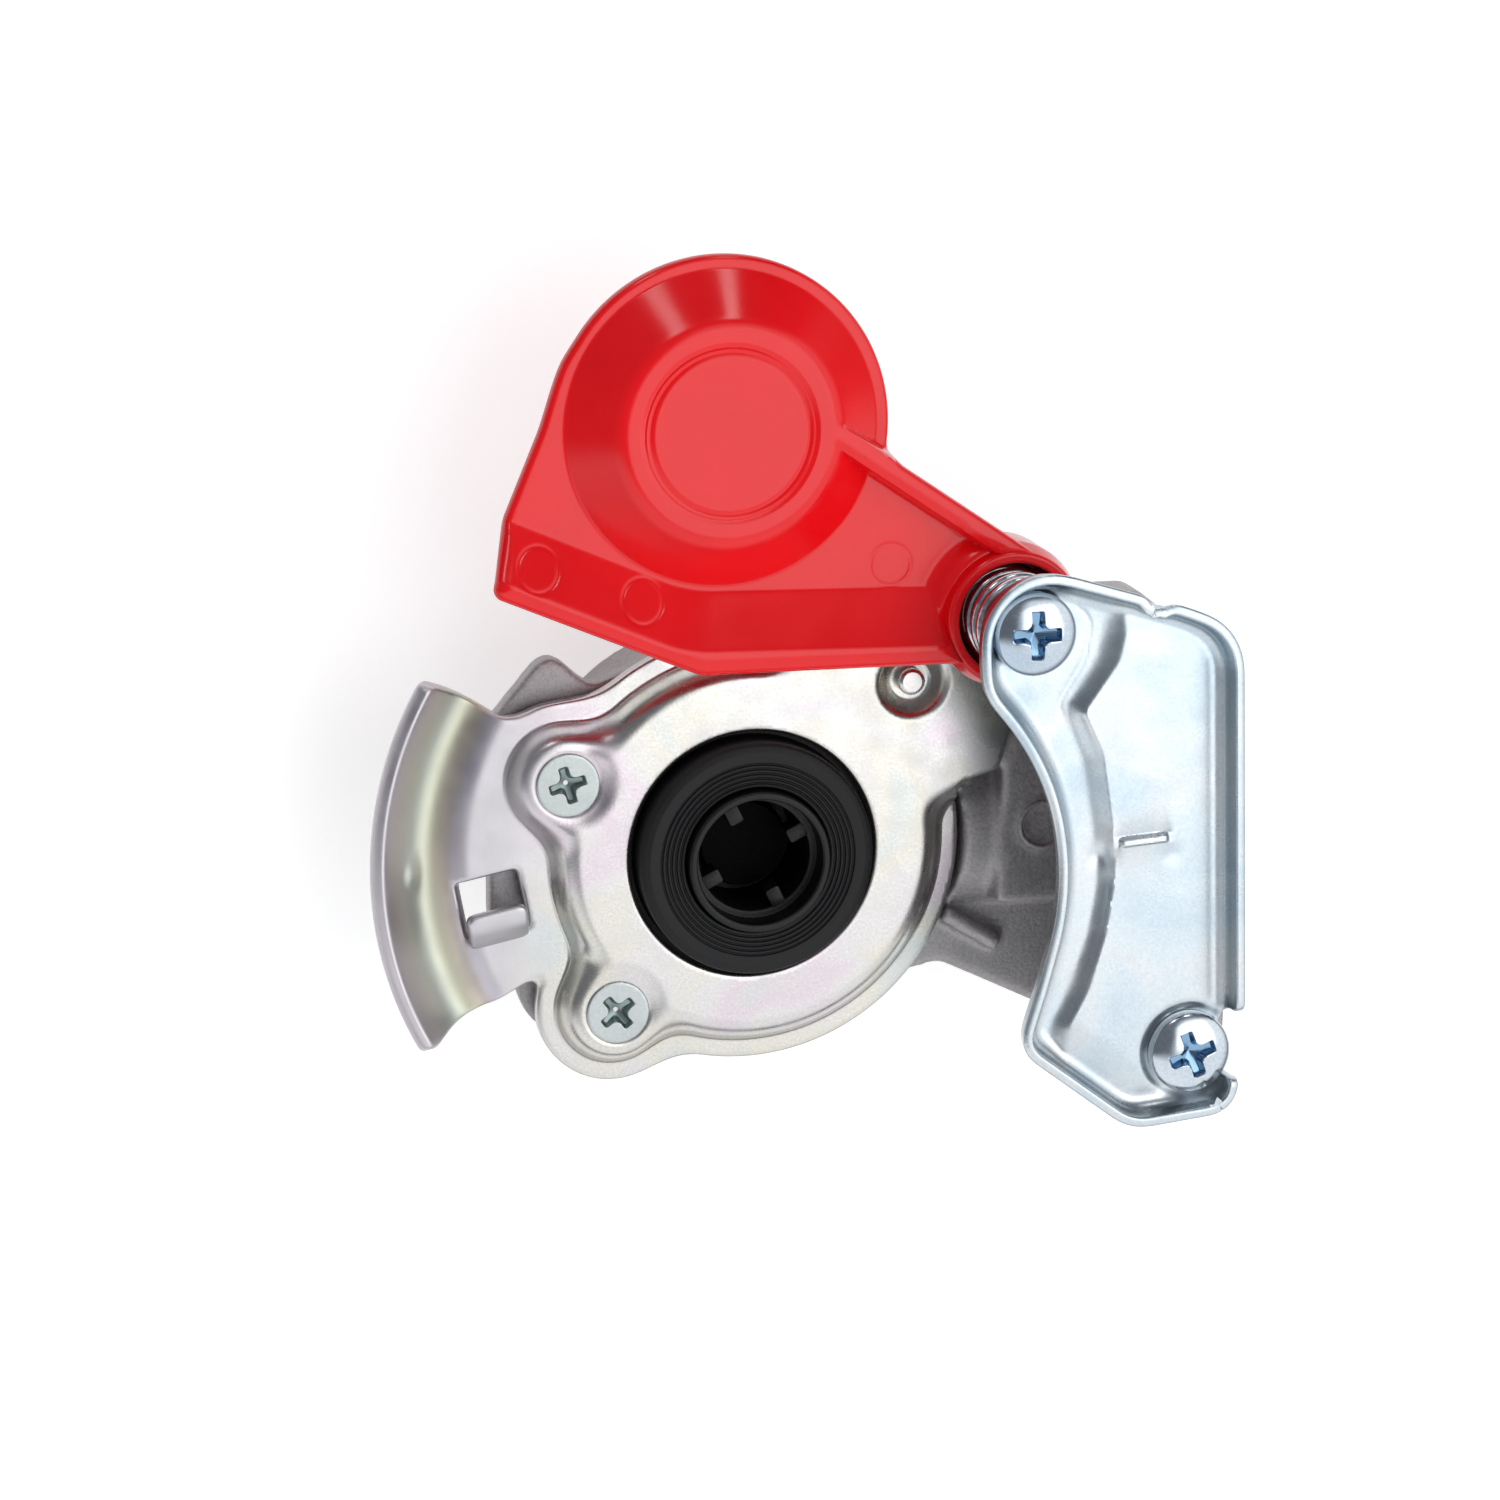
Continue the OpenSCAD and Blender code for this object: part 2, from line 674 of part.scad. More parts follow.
module dust_flap() color([0.85, 0.08, 0.10]) {
    translate([hinge_at[0], hinge_at[1], 0])
        rotate(open_dir)
            difference() {
                union() {
                    translate([0, 0, web_bottom])
                        linear_extrude(web_t) {
                            polygon(outline(web_corners));
                            translate([flap_arm, 0])
                                circle(r = flap_r);
                        }
                    translate([flap_arm, 0, 0])
                        cup_body(0, web_top - root, cup_top);
                    translate([0, flap_rib_at, web_top - root])
                        cube([flap_arm - cup_top_r, flap_rib_w, boss_top - web_top + root]);
                    flap_grip();
                    translate([0, 0, free_gap])
                        cylinder(r = flap_boss_r, h = boss_top - free_gap);
                }
                translate([flap_arm, 0, 0])
                    cup_body(cup_wall, web_bottom - cut, cup_top - cup_wall);
                translate([flap_arm, 0, cup_top - slack])
                    rotate_extrude()
                        translate([cup_groove_r, 0])
                            square([2 * root, cut]);
                translate([0, 0, pocket_floor])
                    cylinder(r = pocket_r, h = bracket_gap);
                translate([0, 0, -cut])
                    cylinder(r = flap_bore_r, h = bracket_gap);
            }
}

// Casting
module prism(corners, low, high, d = 0) {
    translate([0, 0, low])
        linear_extrude(high - low)
            polygon(outline(corners, d));
}

module port_arm() {
    translate([0, 0, -port_depth])
        rotate([0, 90, 0]) {
            cylinder(r = casting_depth - port_depth - edge, h = port_reach - port_hex_l / 2);
            translate([0, 0, port_reach - port_hex_l])
                rotate(30)
                    cylinder(r = (casting_depth - port_depth) / cos(30), h = port_hex_l, $fn = 6);
        }
}

module port_bores() {
    translate([0, 0, -port_depth])
        rotate([0, 90, 0]) {
            translate([0, 0, chamber_bore_r - 3])
                cylinder(r = passage_r, h = port_reach);
            translate([0, 0, port_reach - port_thread_l])
                cylinder(r = port_r, h = port_thread_l + cut);
            translate([0, 0, port_reach - 2 * edge])
                cylinder(r1 = port_r, r2 = port_r + 2.5 * edge, h = 2.5 * edge);
        }
}

module arm_wall() {
    difference() {
        union() {
            translate([0, 0, arm_bottom])
                linear_extrude(bracket_gap - arm_bottom)
                    difference() {
                        bracket_outline(bracket_t);
                        circle(r = claw_way_r, $fn = 180);
                        translate([0, -2 * claw_way_r])
                            square([2 * claw_way_r, 2 * claw_way_r + wall_ends[0]]);
                        translate([0, wall_ends[1]])
                            square(2 * claw_way_r);
                    }
            prism(block_corners, arm_bottom, bracket_gap);
            translate([low_screw_at[0], low_screw_at[1], arm_bottom])
                cylinder(r = norm(low_screw_at) - claw_way_r, h = bracket_gap - arm_bottom);
        }
        translate([hinge_at[0], hinge_at[1], arm_top])
            cylinder(r = flap_boss_r + cut, h = bracket_gap * 2);
        translate([0, 0, arm_top])
            cylinder(r = claw_way_r, h = bracket_gap * 2, $fn = 180);
    }
}

// The raised block beside the plate, with a plain ring for a mark, and a short rib below it
module arm_block() {
    prism(step_corners, arm_top - root, block_top);
    translate([mark_at[0], mark_at[1], block_top - root])
        difference() {
            cylinder(r = mark_r, h = 2 * root);
            cylinder(r = mark_r - edge, h = 2 * root + cut);
        }
    translate([arm_rib_at[0], arm_rib_at[1], arm_top - root])
        rotate(-30)
            cube(arm_rib);
}

// The room that the plate's rim and ear take up above the arm
module plate_room() {
    translate([0, 0, arm_top])
        linear_extrude(-arm_top + cut) {
            pad_outline(rim_w + plate_gap);
            ear_outline(plate_gap);
        }
}

module body_casting() color([0.55, 0.55, 0.54]) {
    difference() {
        union() {
            translate([0, 0, casting_bottom])
                cylinder(r1 = chamber_r - draft, r2 = chamber_r, h = arm_top - casting_bottom);
            translate([0, 0, arm_top - cut])
                linear_extrude(deck_top - arm_top + cut) {
                    pad_outline(-sheet_t - free_gap);
                    ear_outline(-free_gap);
                }
            prism(platform_corners, arm_top - platform_t, arm_top - root);
            prism(arm_corners, arm_bottom, arm_top);
            arm_wall();
            difference() {
                union() {
                    arm_block();
                    port_arm();
                }
                plate_room();
            }
            for (at = concat(plate_screw_at, [hinge_at]))
                translate([at[0], at[1], arm_bottom - boss_l])
                    cylinder(r1 = boss_r - draft, r2 = boss_r, h = arm_t + boss_l);
        }
        translate([0, 0, seat_floor])
            cylinder(r = seal_flange_r + slack, h = -seat_floor);
        translate([0, 0, chamber_floor])
            cylinder(r = chamber_bore_r, h = -chamber_floor);
        translate([0, 0, chamber_floor - stem_thread_l - fit_gap])
            cylinder(r = stem_thread_r + run_gap, h = floor_t);
        port_bores();
        for (at = plate_screw_at)
            translate([at[0], at[1], -csk_sink - plate_screw_l - cut])
                cylinder(r = csk_shank_r + run_gap, h = plate_screw_l + cut);
        for (at = [hinge_at, low_screw_at])
            translate([at[0], at[1], bracket_floor - pan_screw_l - cut])
                cylinder(r = pan_shank_r + run_gap, h = pan_screw_l + cut);
        translate([pin_at[0], pin_at[1], -pin_l - root])
            cylinder(r = pin_r + run_gap, h = pin_l);
        translate([pin_at[0], pin_at[1], rim_bottom - free_gap])
            cylinder(r = dimple_r + sheet_t + free_gap, h = -rim_bottom);
    }
}

body_casting();
coupling_plate();
plate_screws();
locating_pin();
seal_ring();
valve_sleeve();
valve_o_ring();
valve_spring();
valve_stem();
stem_seal();
guide_bracket();
bracket_screw();
hinge_screw();
hinge_sleeve();
flap_spring();
dust_flap();
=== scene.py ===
import bmesh
import bpy
import numpy as np
from mathutils import Matrix, Vector
from mathutils.geometry import delaunay_2d_cdt


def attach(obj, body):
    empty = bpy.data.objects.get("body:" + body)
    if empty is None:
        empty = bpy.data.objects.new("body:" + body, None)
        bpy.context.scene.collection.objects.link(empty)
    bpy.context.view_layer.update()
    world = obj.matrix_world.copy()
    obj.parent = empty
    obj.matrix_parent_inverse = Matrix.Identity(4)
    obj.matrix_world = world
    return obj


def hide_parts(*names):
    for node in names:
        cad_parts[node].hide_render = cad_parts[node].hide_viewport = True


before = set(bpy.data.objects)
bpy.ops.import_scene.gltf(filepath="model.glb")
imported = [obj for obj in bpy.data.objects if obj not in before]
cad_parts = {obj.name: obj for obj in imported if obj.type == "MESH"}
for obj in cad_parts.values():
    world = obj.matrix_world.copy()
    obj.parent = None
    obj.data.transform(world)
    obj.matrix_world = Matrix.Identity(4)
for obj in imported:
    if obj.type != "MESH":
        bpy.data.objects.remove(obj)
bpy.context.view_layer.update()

mm = 0.001  # shapes below are written in millimetres
hingeAt = (34.6, 36.6)  # places that several pieces share
pinAt = (23.2, 25)
plateScrewsAt = [(-27.5, 11), (-19.4, -23.4)]
bracketScrewAt = (61, -26.2)
print("stage: frame loaded")


# Fields and outlines

def smoothMin(a, b, k):  # the lesser of two fields, rounded over a band k wide
    h = np.clip(0.5 + 0.5 * (b - a) / k, 0, 1)
    return b + (a - b) * h - k * h * (1 - h)


def smoothMax(a, b, k):  # the greater of two fields, rounded over a band k wide
    return -smoothMin(-a, -b, k)


def ramp(t, k):  # 0 before t = 0, straight up to 1 at t = 1, with both bends rounded over k
    return smoothMax(smoothMin(t, 1, k), 0, k)


def bell(d, width):  # hump of height 1 that falls with the square of the distance
    return np.exp(-(d / width) ** 2)


def circleField(x, y, at, r=0):  # distance to a circle, negative inside
    return np.hypot(x - at[0], y - at[1]) - r


def placed(x, y, at, turn):  # points turned by an angle in degrees, then moved to a place
    c, s = np.cos(np.radians(turn)), np.sin(np.radians(turn))
    return at[0] + x * c - y * s, at[1] + x * s + y * c


def roundedOutline(corners, arcSteps=8):  # corners (x, y, r), each replaced by an arc of radius r
    pts = np.array([c[:2] for c in corners], float)
    radii = np.array([c[2] for c in corners], float)
    u = pts - np.roll(pts, 1, axis=0)
    w = np.roll(pts, -1, axis=0) - pts
    u /= np.linalg.norm(u, axis=1)[:, None]
    w /= np.linalg.norm(w, axis=1)[:, None]
    turn = np.arctan2(u[:, 0] * w[:, 1] - u[:, 1] * w[:, 0], (u * w).sum(axis=1))
    side = np.where(turn < 0, -1.0, 1.0)
    left = np.stack([-u[:, 1], u[:, 0]], axis=1)
    start = pts - u * (radii * np.tan(np.abs(turn) / 2))[:, None]
    centre = start + left * (side * radii)[:, None]
    a = np.abs(turn)[:, None] * np.linspace(0, 1, arcSteps)[None, :]
    along = u[:, None, :] * np.sin(a)[:, :, None]
    across = left[:, None, :] * (side[:, None] * np.cos(a))[:, :, None]
    return (centre[:, None, :] + radii[:, None, None] * (along - across)).reshape(-1, 2)


def outlineField(x, y, pts):  # signed distance to a closed outline, negative inside
    tiny = 1e-12
    best = np.full(x.shape, 1e9)
    inside = np.zeros(x.shape, bool)
    for (ax, ay), (bx, by) in zip(pts, np.roll(pts, -1, axis=0)):
        ex, ey = bx - ax, by - ay
        t = np.clip(((x - ax) * ex + (y - ay) * ey) / max(ex * ex + ey * ey, tiny), 0, 1)
        best = np.minimum(best, (x - ax - t * ex) ** 2 + (y - ay - t * ey) ** 2)
        rise = ey if abs(ey) > tiny else tiny
        inside ^= ((ay > y) != (by > y)) & (x < ex * (y - ay) / rise + ax)
    return np.where(inside, -1.0, 1.0) * np.sqrt(best)


def fieldSlope(field, x, y):  # unit direction in which a field grows
    e = 1e-3
    gx = field(x + e, y) - field(x - e, y)
    gy = field(x, y + e) - field(x, y - e)
    size = np.maximum(np.hypot(gx, gy), 1e-9)
    return gx / size, gy / size


# Meshes

def newPiece(name, verts, faces, body, slot, material, node=None, sharp=35, merge=False):
    mesh = bpy.data.meshes.new(name)
    rows = [row for block in faces for row in np.asarray(block).tolist()]
    mesh.from_pydata((np.asarray(verts) * mm).tolist(), [], rows)
    if merge:  # closes the poles and seams of a turned shape
        bm = bmesh.new()
        bm.from_mesh(mesh)
        bmesh.ops.remove_doubles(bm, verts=bm.verts, dist=1e-7)
        bmesh.ops.recalc_face_normals(bm, faces=bm.faces)
        bm.to_mesh(mesh)
        bm.free()
    mesh.update()
    mesh.shade_smooth()
    mesh.set_sharp_from_angle(angle=np.radians(sharp))
    piece = bpy.data.objects.new(name, mesh)
    bpy.context.scene.collection.objects.link(piece)
    mesh.materials.append(material)
    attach(piece, body)
    if node:
        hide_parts(node)
    return piece


def ringPoints(at, low, high, step):  # points on circles about a centre
    radii = np.arange(low, high, step)
    turns = [np.linspace(0, 2 * np.pi, int(2 * np.pi * r / step), endpoint=False) for r in radii]
    x = [at[0] + r * np.cos(a) for r, a in zip(radii, turns)]
    y = [at[1] + r * np.sin(a) for r, a in zip(radii, turns)]
    return np.concatenate(x), np.concatenate(y)


def onLine(field, x, y, step):
    # points near a field's zero line, moved onto it and thinned, with the line's outward direction
    near = np.abs(field(x, y)) < 1.2 * step
    ex, ey = x[near], y[near]
    for _ in range(4):
        nx, ny = fieldSlope(field, ex, ey)
        off = field(ex, ey)
        ex, ey = ex - off * nx, ey - off * ny
    cells = np.round(np.stack([ex, ey], axis=1) / (0.6 * step)).astype(int)
    keep = np.unique(cells, axis=0, return_index=True)[1]
    ex, ey = ex[keep], ey[keep]
    return ex, ey, *fieldSlope(field, ex, ey)


def withNeighbours(tris, count):  # triangles that share an edge with another
    edges = np.sort(tris[:, [0, 1, 1, 2, 2, 0]].reshape(-1, 2), axis=1).astype(np.int64)
    keys = edges[:, 0] * count + edges[:, 1]
    back, shared = np.unique(keys, return_inverse=True, return_counts=True)[1:]
    return tris[(shared[back].reshape(-1, 3) > 1).any(axis=1)]


def fieldGrid(field, low, high, step, rows, rings=(), folds=()):
    # square grid where field < 0, with rows of points at set depths inside its edge,
    # joined by Delaunay triangles
    gx, gy = np.meshgrid(np.arange(low[0], high[0], step), np.arange(low[1], high[1], step))
    gx, gy = gx.ravel(), gy.ravel()
    for at, start, end, fine in rings:  # round features get circles of points in place of the square grid
        r = circleField(gx, gy, at)
        outside = (r < start - 0.7 * fine) | (r > end + 0.2 * fine)
        rx, ry = ringPoints(at, start, end, fine)
        gx, gy = np.concatenate([gx[outside], rx]), np.concatenate([gy[outside], ry])
    for fold, sides in folds:  # rows of points along both sides of a fold
        ex, ey, nx, ny = onLine(fold, gx, gy, step)
        away = np.abs(fold(gx, gy)) > max(sides) + 0.3 * step
        gx = np.concatenate([gx[away]] + [ex + d * nx for d in sides])
        gy = np.concatenate([gy[away]] + [ey + d * ny for d in sides])
    ex, ey, nx, ny = onLine(field, gx, gy, step)
    inner = field(gx, gy) < -(rows[-1] + 0.5 * step)
    pts = [np.stack([ex - d * nx, ey - d * ny], axis=1) for d in rows]
    pts.append(np.stack([gx[inner], gy[inner]], axis=1))
    out = delaunay_2d_cdt([Vector(p) for p in np.concatenate(pts).tolist()], [], [], 0, 1e-5)
    pts = np.array([(v.x, v.y) for v in out[0]])
    tris = np.array(out[2])
    a, b, c = pts[tris[:, 0]], pts[tris[:, 1]], pts[tris[:, 2]]
    area = (b[:, 0] - a[:, 0]) * (c[:, 1] - a[:, 1]) - (b[:, 1] - a[:, 1]) * (c[:, 0] - a[:, 0])
    tris = np.where((area > 0)[:, None], tris, tris[:, ::-1])
    middle = (a + b + c) / 3
    tris = tris[(np.abs(area) > 1e-7) & (field(middle[:, 0], middle[:, 1]) < -1e-4)]
    used, tris = np.unique(withNeighbours(tris, len(pts)), return_inverse=True)
    pts = pts[used]
    return pts[:, 0], pts[:, 1], tris.reshape(-1, 3)


def surfaceNormals(p, tris):  # area-weighted normals of a triangle mesh
    n = np.cross(p[tris[:, 1]] - p[tris[:, 0]], p[tris[:, 2]] - p[tris[:, 0]])
    total = np.zeros_like(p)
    for k in range(3):
        np.add.at(total, tris[:, k], n)
    return total / np.maximum(np.linalg.norm(total, axis=1), 1e-12)[:, None]


def edgeRound(depth, r):  # drop of a rounded edge: a quarter circle of radius r before the edge
    t = np.clip((depth + r) / r, 0, 1)
    return r * (1 - np.sqrt(1 - t * t))


def closedSheet(top, bottom, tris):  # both faces of a sheet and the cut edge between them
    n = len(top)
    edges = np.concatenate([tris[:, [0, 1]], tris[:, [1, 2]], tris[:, [2, 0]]])
    key = edges[:, 0].astype(np.int64) * n + edges[:, 1]
    back = edges[:, 1].astype(np.int64) * n + edges[:, 0]
    rim = edges[~np.isin(key, back)]
    quads = np.stack([rim[:, 0], rim[:, 0] + n, rim[:, 1] + n, rim[:, 1]], axis=1)
    return np.concatenate([top, bottom]), [tris, tris[:, ::-1] + n, quads]


def pressedSheet(p, tris, depth, thickness, r):  # sheet of even thickness under a surface, edges rounded
    n = surfaceNormals(p, tris)
    drop = edgeRound(depth, r)[:, None]
    return closedSheet(p - n * drop, p - n * (thickness - drop), tris)


def gridFaces(rows, columns, rowsClosed, columnsClosed):  # quads of a grid, joined where it is closed
    i = np.arange(rows if rowsClosed else rows - 1)
    j = np.arange(columns if columnsClosed else columns - 1)
    i, j = [g.ravel() for g in np.meshgrid(i, j, indexing="ij")]
    i2, j2 = (i + 1) % rows, (j + 1) % columns
    return np.stack([i * columns + j, i * columns + j2, i2 * columns + j2, i2 * columns + j], axis=1)


def tubeFaces(rows, columns):  # sides of a tube and a flat cap on each end
    last = (rows - 1) * columns
    caps = [[list(range(columns - 1, -1, -1))], [list(range(last, last + columns))]]
    return [gridFaces(rows, columns, False, True)] + caps


def turned(profile, at=(0, 0), steps=96, closed=True):  # profile (r, z) turned about an upright axis
    profile = np.asarray(profile, float)
    a = np.linspace(0, 2 * np.pi, steps, endpoint=False)
    x = at[0] + profile[:, 0][:, None] * np.cos(a)
    y = at[1] + profile[:, 0][:, None] * np.sin(a)
    z = np.broadcast_to(profile[:, 1][:, None], x.shape)
    verts = np.stack([x, y, z], axis=2).reshape(-1, 3)
    return verts, [gridFaces(len(profile), steps, closed, True)]


def coiledWire(at, meanR, wireR, low, high, turns, perTurn=64, sides=14):
    # wire of round section carried along a helix, with one close turn at each end
    t = np.linspace(0, turns, turns * perTurn + 1)
    close = 2 * wireR + 0.1
    climb = high - low - 2 * wireR
    z = low + wireR + np.interp(t, [0, 1, turns - 1, turns], [0, close, climb - close, climb])
    a = 2 * np.pi * t
    b = np.linspace(0, 2 * np.pi, sides, endpoint=False)
    r = meanR + wireR * np.cos(b)[None, :]
    x = at[0] + r * np.cos(a)[:, None]
    y = at[1] + r * np.sin(a)[:, None]
    z = z[:, None] + wireR * np.sin(b)[None, :]
    return np.stack([x, y, z], axis=2).reshape(-1, 3), tubeFaces(len(t), sides)


def joined(*parts):  # several vertex and face lists as one
    verts, faces, start = [], [], 0
    for v, f in parts:
        verts.append(v)
        faces += [np.asarray(block) + start for block in f]
        start += len(v)
    return np.concatenate(verts), faces


# Finishes

def linear(hexColour):  # sRGB hex to linear red, green, blue and alpha
    c = np.array([int(hexColour[i:i + 2], 16) for i in (1, 3, 5)]) / 255
    c = np.where(c <= 0.04045, c / 12.92, ((c + 0.055) / 1.055) ** 2.4)
    return (*c.tolist(), 1.0)


def linkInputs(tree, node, links):  # each input with the node and output that feed it
    for key, (source, output) in links.items():
        tree.links.new(source.outputs[output], node.inputs[key])


def addNode(tree, kind, values=None, links=None, **settings):
    node = tree.nodes.new(kind)
    for key, value in settings.items():
        setattr(node, key, value)
    for key, value in (values or {}).items():
        node.inputs[key].default_value = value
    linkInputs(tree, node, links or {})
    return node


def newFinish(name, values):  # a material with its shader set, and the piece's own coordinates
    material = bpy.data.materials.new(name)
    material.use_nodes = True
    tree = material.node_tree
    shader = tree.nodes["Principled BSDF"]
    for key, value in values.items():
        shader.inputs[key].default_value = value
    place = (addNode(tree, "ShaderNodeTexCoord"), "Object")
    return material, tree, shader, place


def dress(tree, shader, colour, rough, bump=None):  # the shader fed by colour, roughness and relief
    linkInputs(tree, shader, {"Base Color": colour, "Roughness": (rough, 0)})
    if bump:
        linkInputs(tree, shader, {"Normal": (bump, "Normal")})


def perMm(size):  # noise scale that gives features of a size in millimetres
    return 1 / (size * mm)


def setRamp(node, stops):  # colours of a ramp, as (place, hex) pairs
    marks = node.color_ramp.elements
    while len(marks) < len(stops):
        marks.new(0.5)
    for mark, (at, colour) in zip(marks, stops):
        mark.position = at
        mark.color = linear(colour)


def spread(low, high):  # values that stretch the middle of a noise to a range
    return {"From Min": 0.3, "From Max": 0.7, "To Min": low, "To Max": high}


def fromTo(start, end):  # values that run from 0 at the start to 1 at the end
    return {"From Min": start, "From Max": end}


zinc = {
    "plate": [(0.30, "#bac0c0"), (0.42, "#c8c5bc"), (0.52, "#c7c5c4"), (0.62, "#c7bcc2"),
              (0.74, "#bcc1bd")],
    "drawn": [(0.02, "#c3c0c3"), (0.20, "#c0bac2"), (0.33, "#c4bbad"), (0.45, "#bdbda9"), (0.62, "#bbc1b8"),
              (0.80, "#c1bebb"), (0.95, "#c6c1c5")],
    "bracket": [(0.30, "#aebdc7"), (0.45, "#bdc7cd"), (0.58, "#c5cacd"), (0.72, "#b3c1ca")],
    "screw": [(0.30, "#abb9c6"), (0.5, "#c5cdd3"), (0.72, "#b6c3ce")],
    "dullScrew": [(0.30, "#acb2b2"), (0.5, "#b4bab9"), (0.72, "#b0b6b4")],
    "filmSize": 24, "cloudSize": 5, "grainSize": 0.45,  # grain as coarse as it needs to show
    "drawnReach": (40, 55), "drawnLeft": (-28, -36), "drawnDuller": 0.15,
}


def drawnFilm(tree, place, tints):
    # rainbow film in bands by distance from the seal's axis, and how far the sheet was drawn into the claw
    start, end = zinc["drawnReach"]
    flat = addNode(tree, "ShaderNodeVectorMath", {1: (1, 1, 0)}, {0: place}, operation="MULTIPLY")
    reach = addNode(tree, "ShaderNodeVectorMath", links={0: (flat, 0)}, operation="LENGTH")
    band = addNode(tree, "ShaderNodeMapRange", fromTo(start * mm, end * mm), {"Value": (reach, "Value")})
    film = addNode(tree, "ShaderNodeValToRGB", links={"Fac": (band, "Result")})
    setRamp(film, tints)
    start, end = zinc["drawnLeft"]
    split = addNode(tree, "ShaderNodeSeparateXYZ", links={"Vector": place})
    left = addNode(tree, "ShaderNodeMapRange", fromTo(start * mm, end * mm), {"Value": (split, "X")})
    return film, left


def zincFinish(name, tints, roughness, grainDepth, recessShadeTint=None, drawnTints=None):
    # zinc-plated pressed steel: bright satin metal with a fine mill grain and faint rainbow passivation; on
    # screws, painted shade in the cross recess
    material, tree, shader, place = newFinish(name, {"Metallic": 1.0})
    film = addNode(tree, "ShaderNodeTexNoise",
                   {"Scale": perMm(zinc["filmSize"]), "Detail": 2.0, "Distortion": 0.8}, {"Vector": place})
    grain = addNode(tree, "ShaderNodeTexNoise",
                    {"Scale": perMm(zinc["grainSize"]), "Detail": 4.0, "Roughness": 0.65},
                    {"Vector": place})
    cloud = addNode(tree, "ShaderNodeTexNoise", {"Scale": perMm(zinc["cloudSize"]), "Detail": 3.0},
                    {"Vector": place})
    tint = addNode(tree, "ShaderNodeValToRGB", links={"Fac": (film, "Fac")})
    setRamp(tint, tints)
    shade = addNode(tree, "ShaderNodeMapRange", spread(0.90, 1.06), {"Value": (grain, "Fac")})
    colour = addNode(tree, "ShaderNodeMix", {"Factor": 1.0},
                     {"A": (tint, "Color"), "B": (shade, "Result")},
                     data_type="RGBA", blend_type="MULTIPLY")
    rough = addNode(tree, "ShaderNodeMapRange", spread(roughness - 0.05, roughness + 0.07),
                    {"Value": (cloud, "Fac")})
    if drawnTints:  # drawing leaves the claw duller
        drawn, left = drawnFilm(tree, place, drawnTints)
        colour = addNode(tree, "ShaderNodeMix", None,
                         {"Factor": (left, "Result"), "A": (colour, 2), "B": (drawn, "Color")},
                         data_type="RGBA")
        rough = addNode(tree, "ShaderNodeMath", {1: zinc["drawnDuller"]},
                        {0: (left, "Result"), 2: (rough, 0)}, operation="MULTIPLY_ADD")
    if recessShadeTint:  # painted shade: a darker blue laid into the cross recess, where shade falls
        deep = addNode(tree, "ShaderNodeAttribute", attribute_name="recess")
        colour = addNode(tree, "ShaderNodeMix", {"B": linear(recessShadeTint)},
                         {"A": (colour, 2), "Factor": (deep, "Fac")}, data_type="RGBA")
    bump = addNode(tree, "ShaderNodeBump", {"Strength": 0.35, "Distance": grainDepth * mm},
                   {"Height": (grain, "Fac")})
    dress(tree, shader, (colour, 2), rough, bump)
    return material


def castFinish():
    # sand-blasted cast aluminium: dull grey with a half-millimetre grain and soft cloudy patches
    material, tree, shader, place = newFinish("castAluminium", {"Metallic": 1.0})
    grain = addNode(tree, "ShaderNodeTexNoise", {"Scale": perMm(0.55), "Detail": 5.0, "Roughness": 0.7},
                    {"Vector": place})
    cloud = addNode(tree, "ShaderNodeTexNoise", {"Scale": perMm(9), "Detail": 3.0}, {"Vector": place})
    tint = addNode(tree, "ShaderNodeValToRGB", links={"Fac": (grain, "Fac")})
    setRamp(tint, [(0.30, "#989596"), (0.52, "#b2afb0"), (0.72, "#c6c4c5")])
    shade = addNode(tree, "ShaderNodeMapRange", spread(0.88, 1.06), {"Value": (cloud, "Fac")})
    colour = addNode(tree, "ShaderNodeMix", {"Factor": 1.0},
                     {"A": (tint, "Color"), "B": (shade, "Result")},
                     data_type="RGBA", blend_type="MULTIPLY")
    rough = addNode(tree, "ShaderNodeMapRange", spread(0.5, 0.68), {"Value": (grain, "Fac")})
    bump = addNode(tree, "ShaderNodeBump", {"Strength": 0.7, "Distance": 0.12 * mm},
                   {"Height": (grain, "Fac")})
    dress(tree, shader, (colour, 2), rough, bump)
    return material


mouldRings = {"at": (-8.32, 64.15), "pitch": 0.8, "fade": (10.4, 9.9), "share": 0.35, "depth": 0.010}


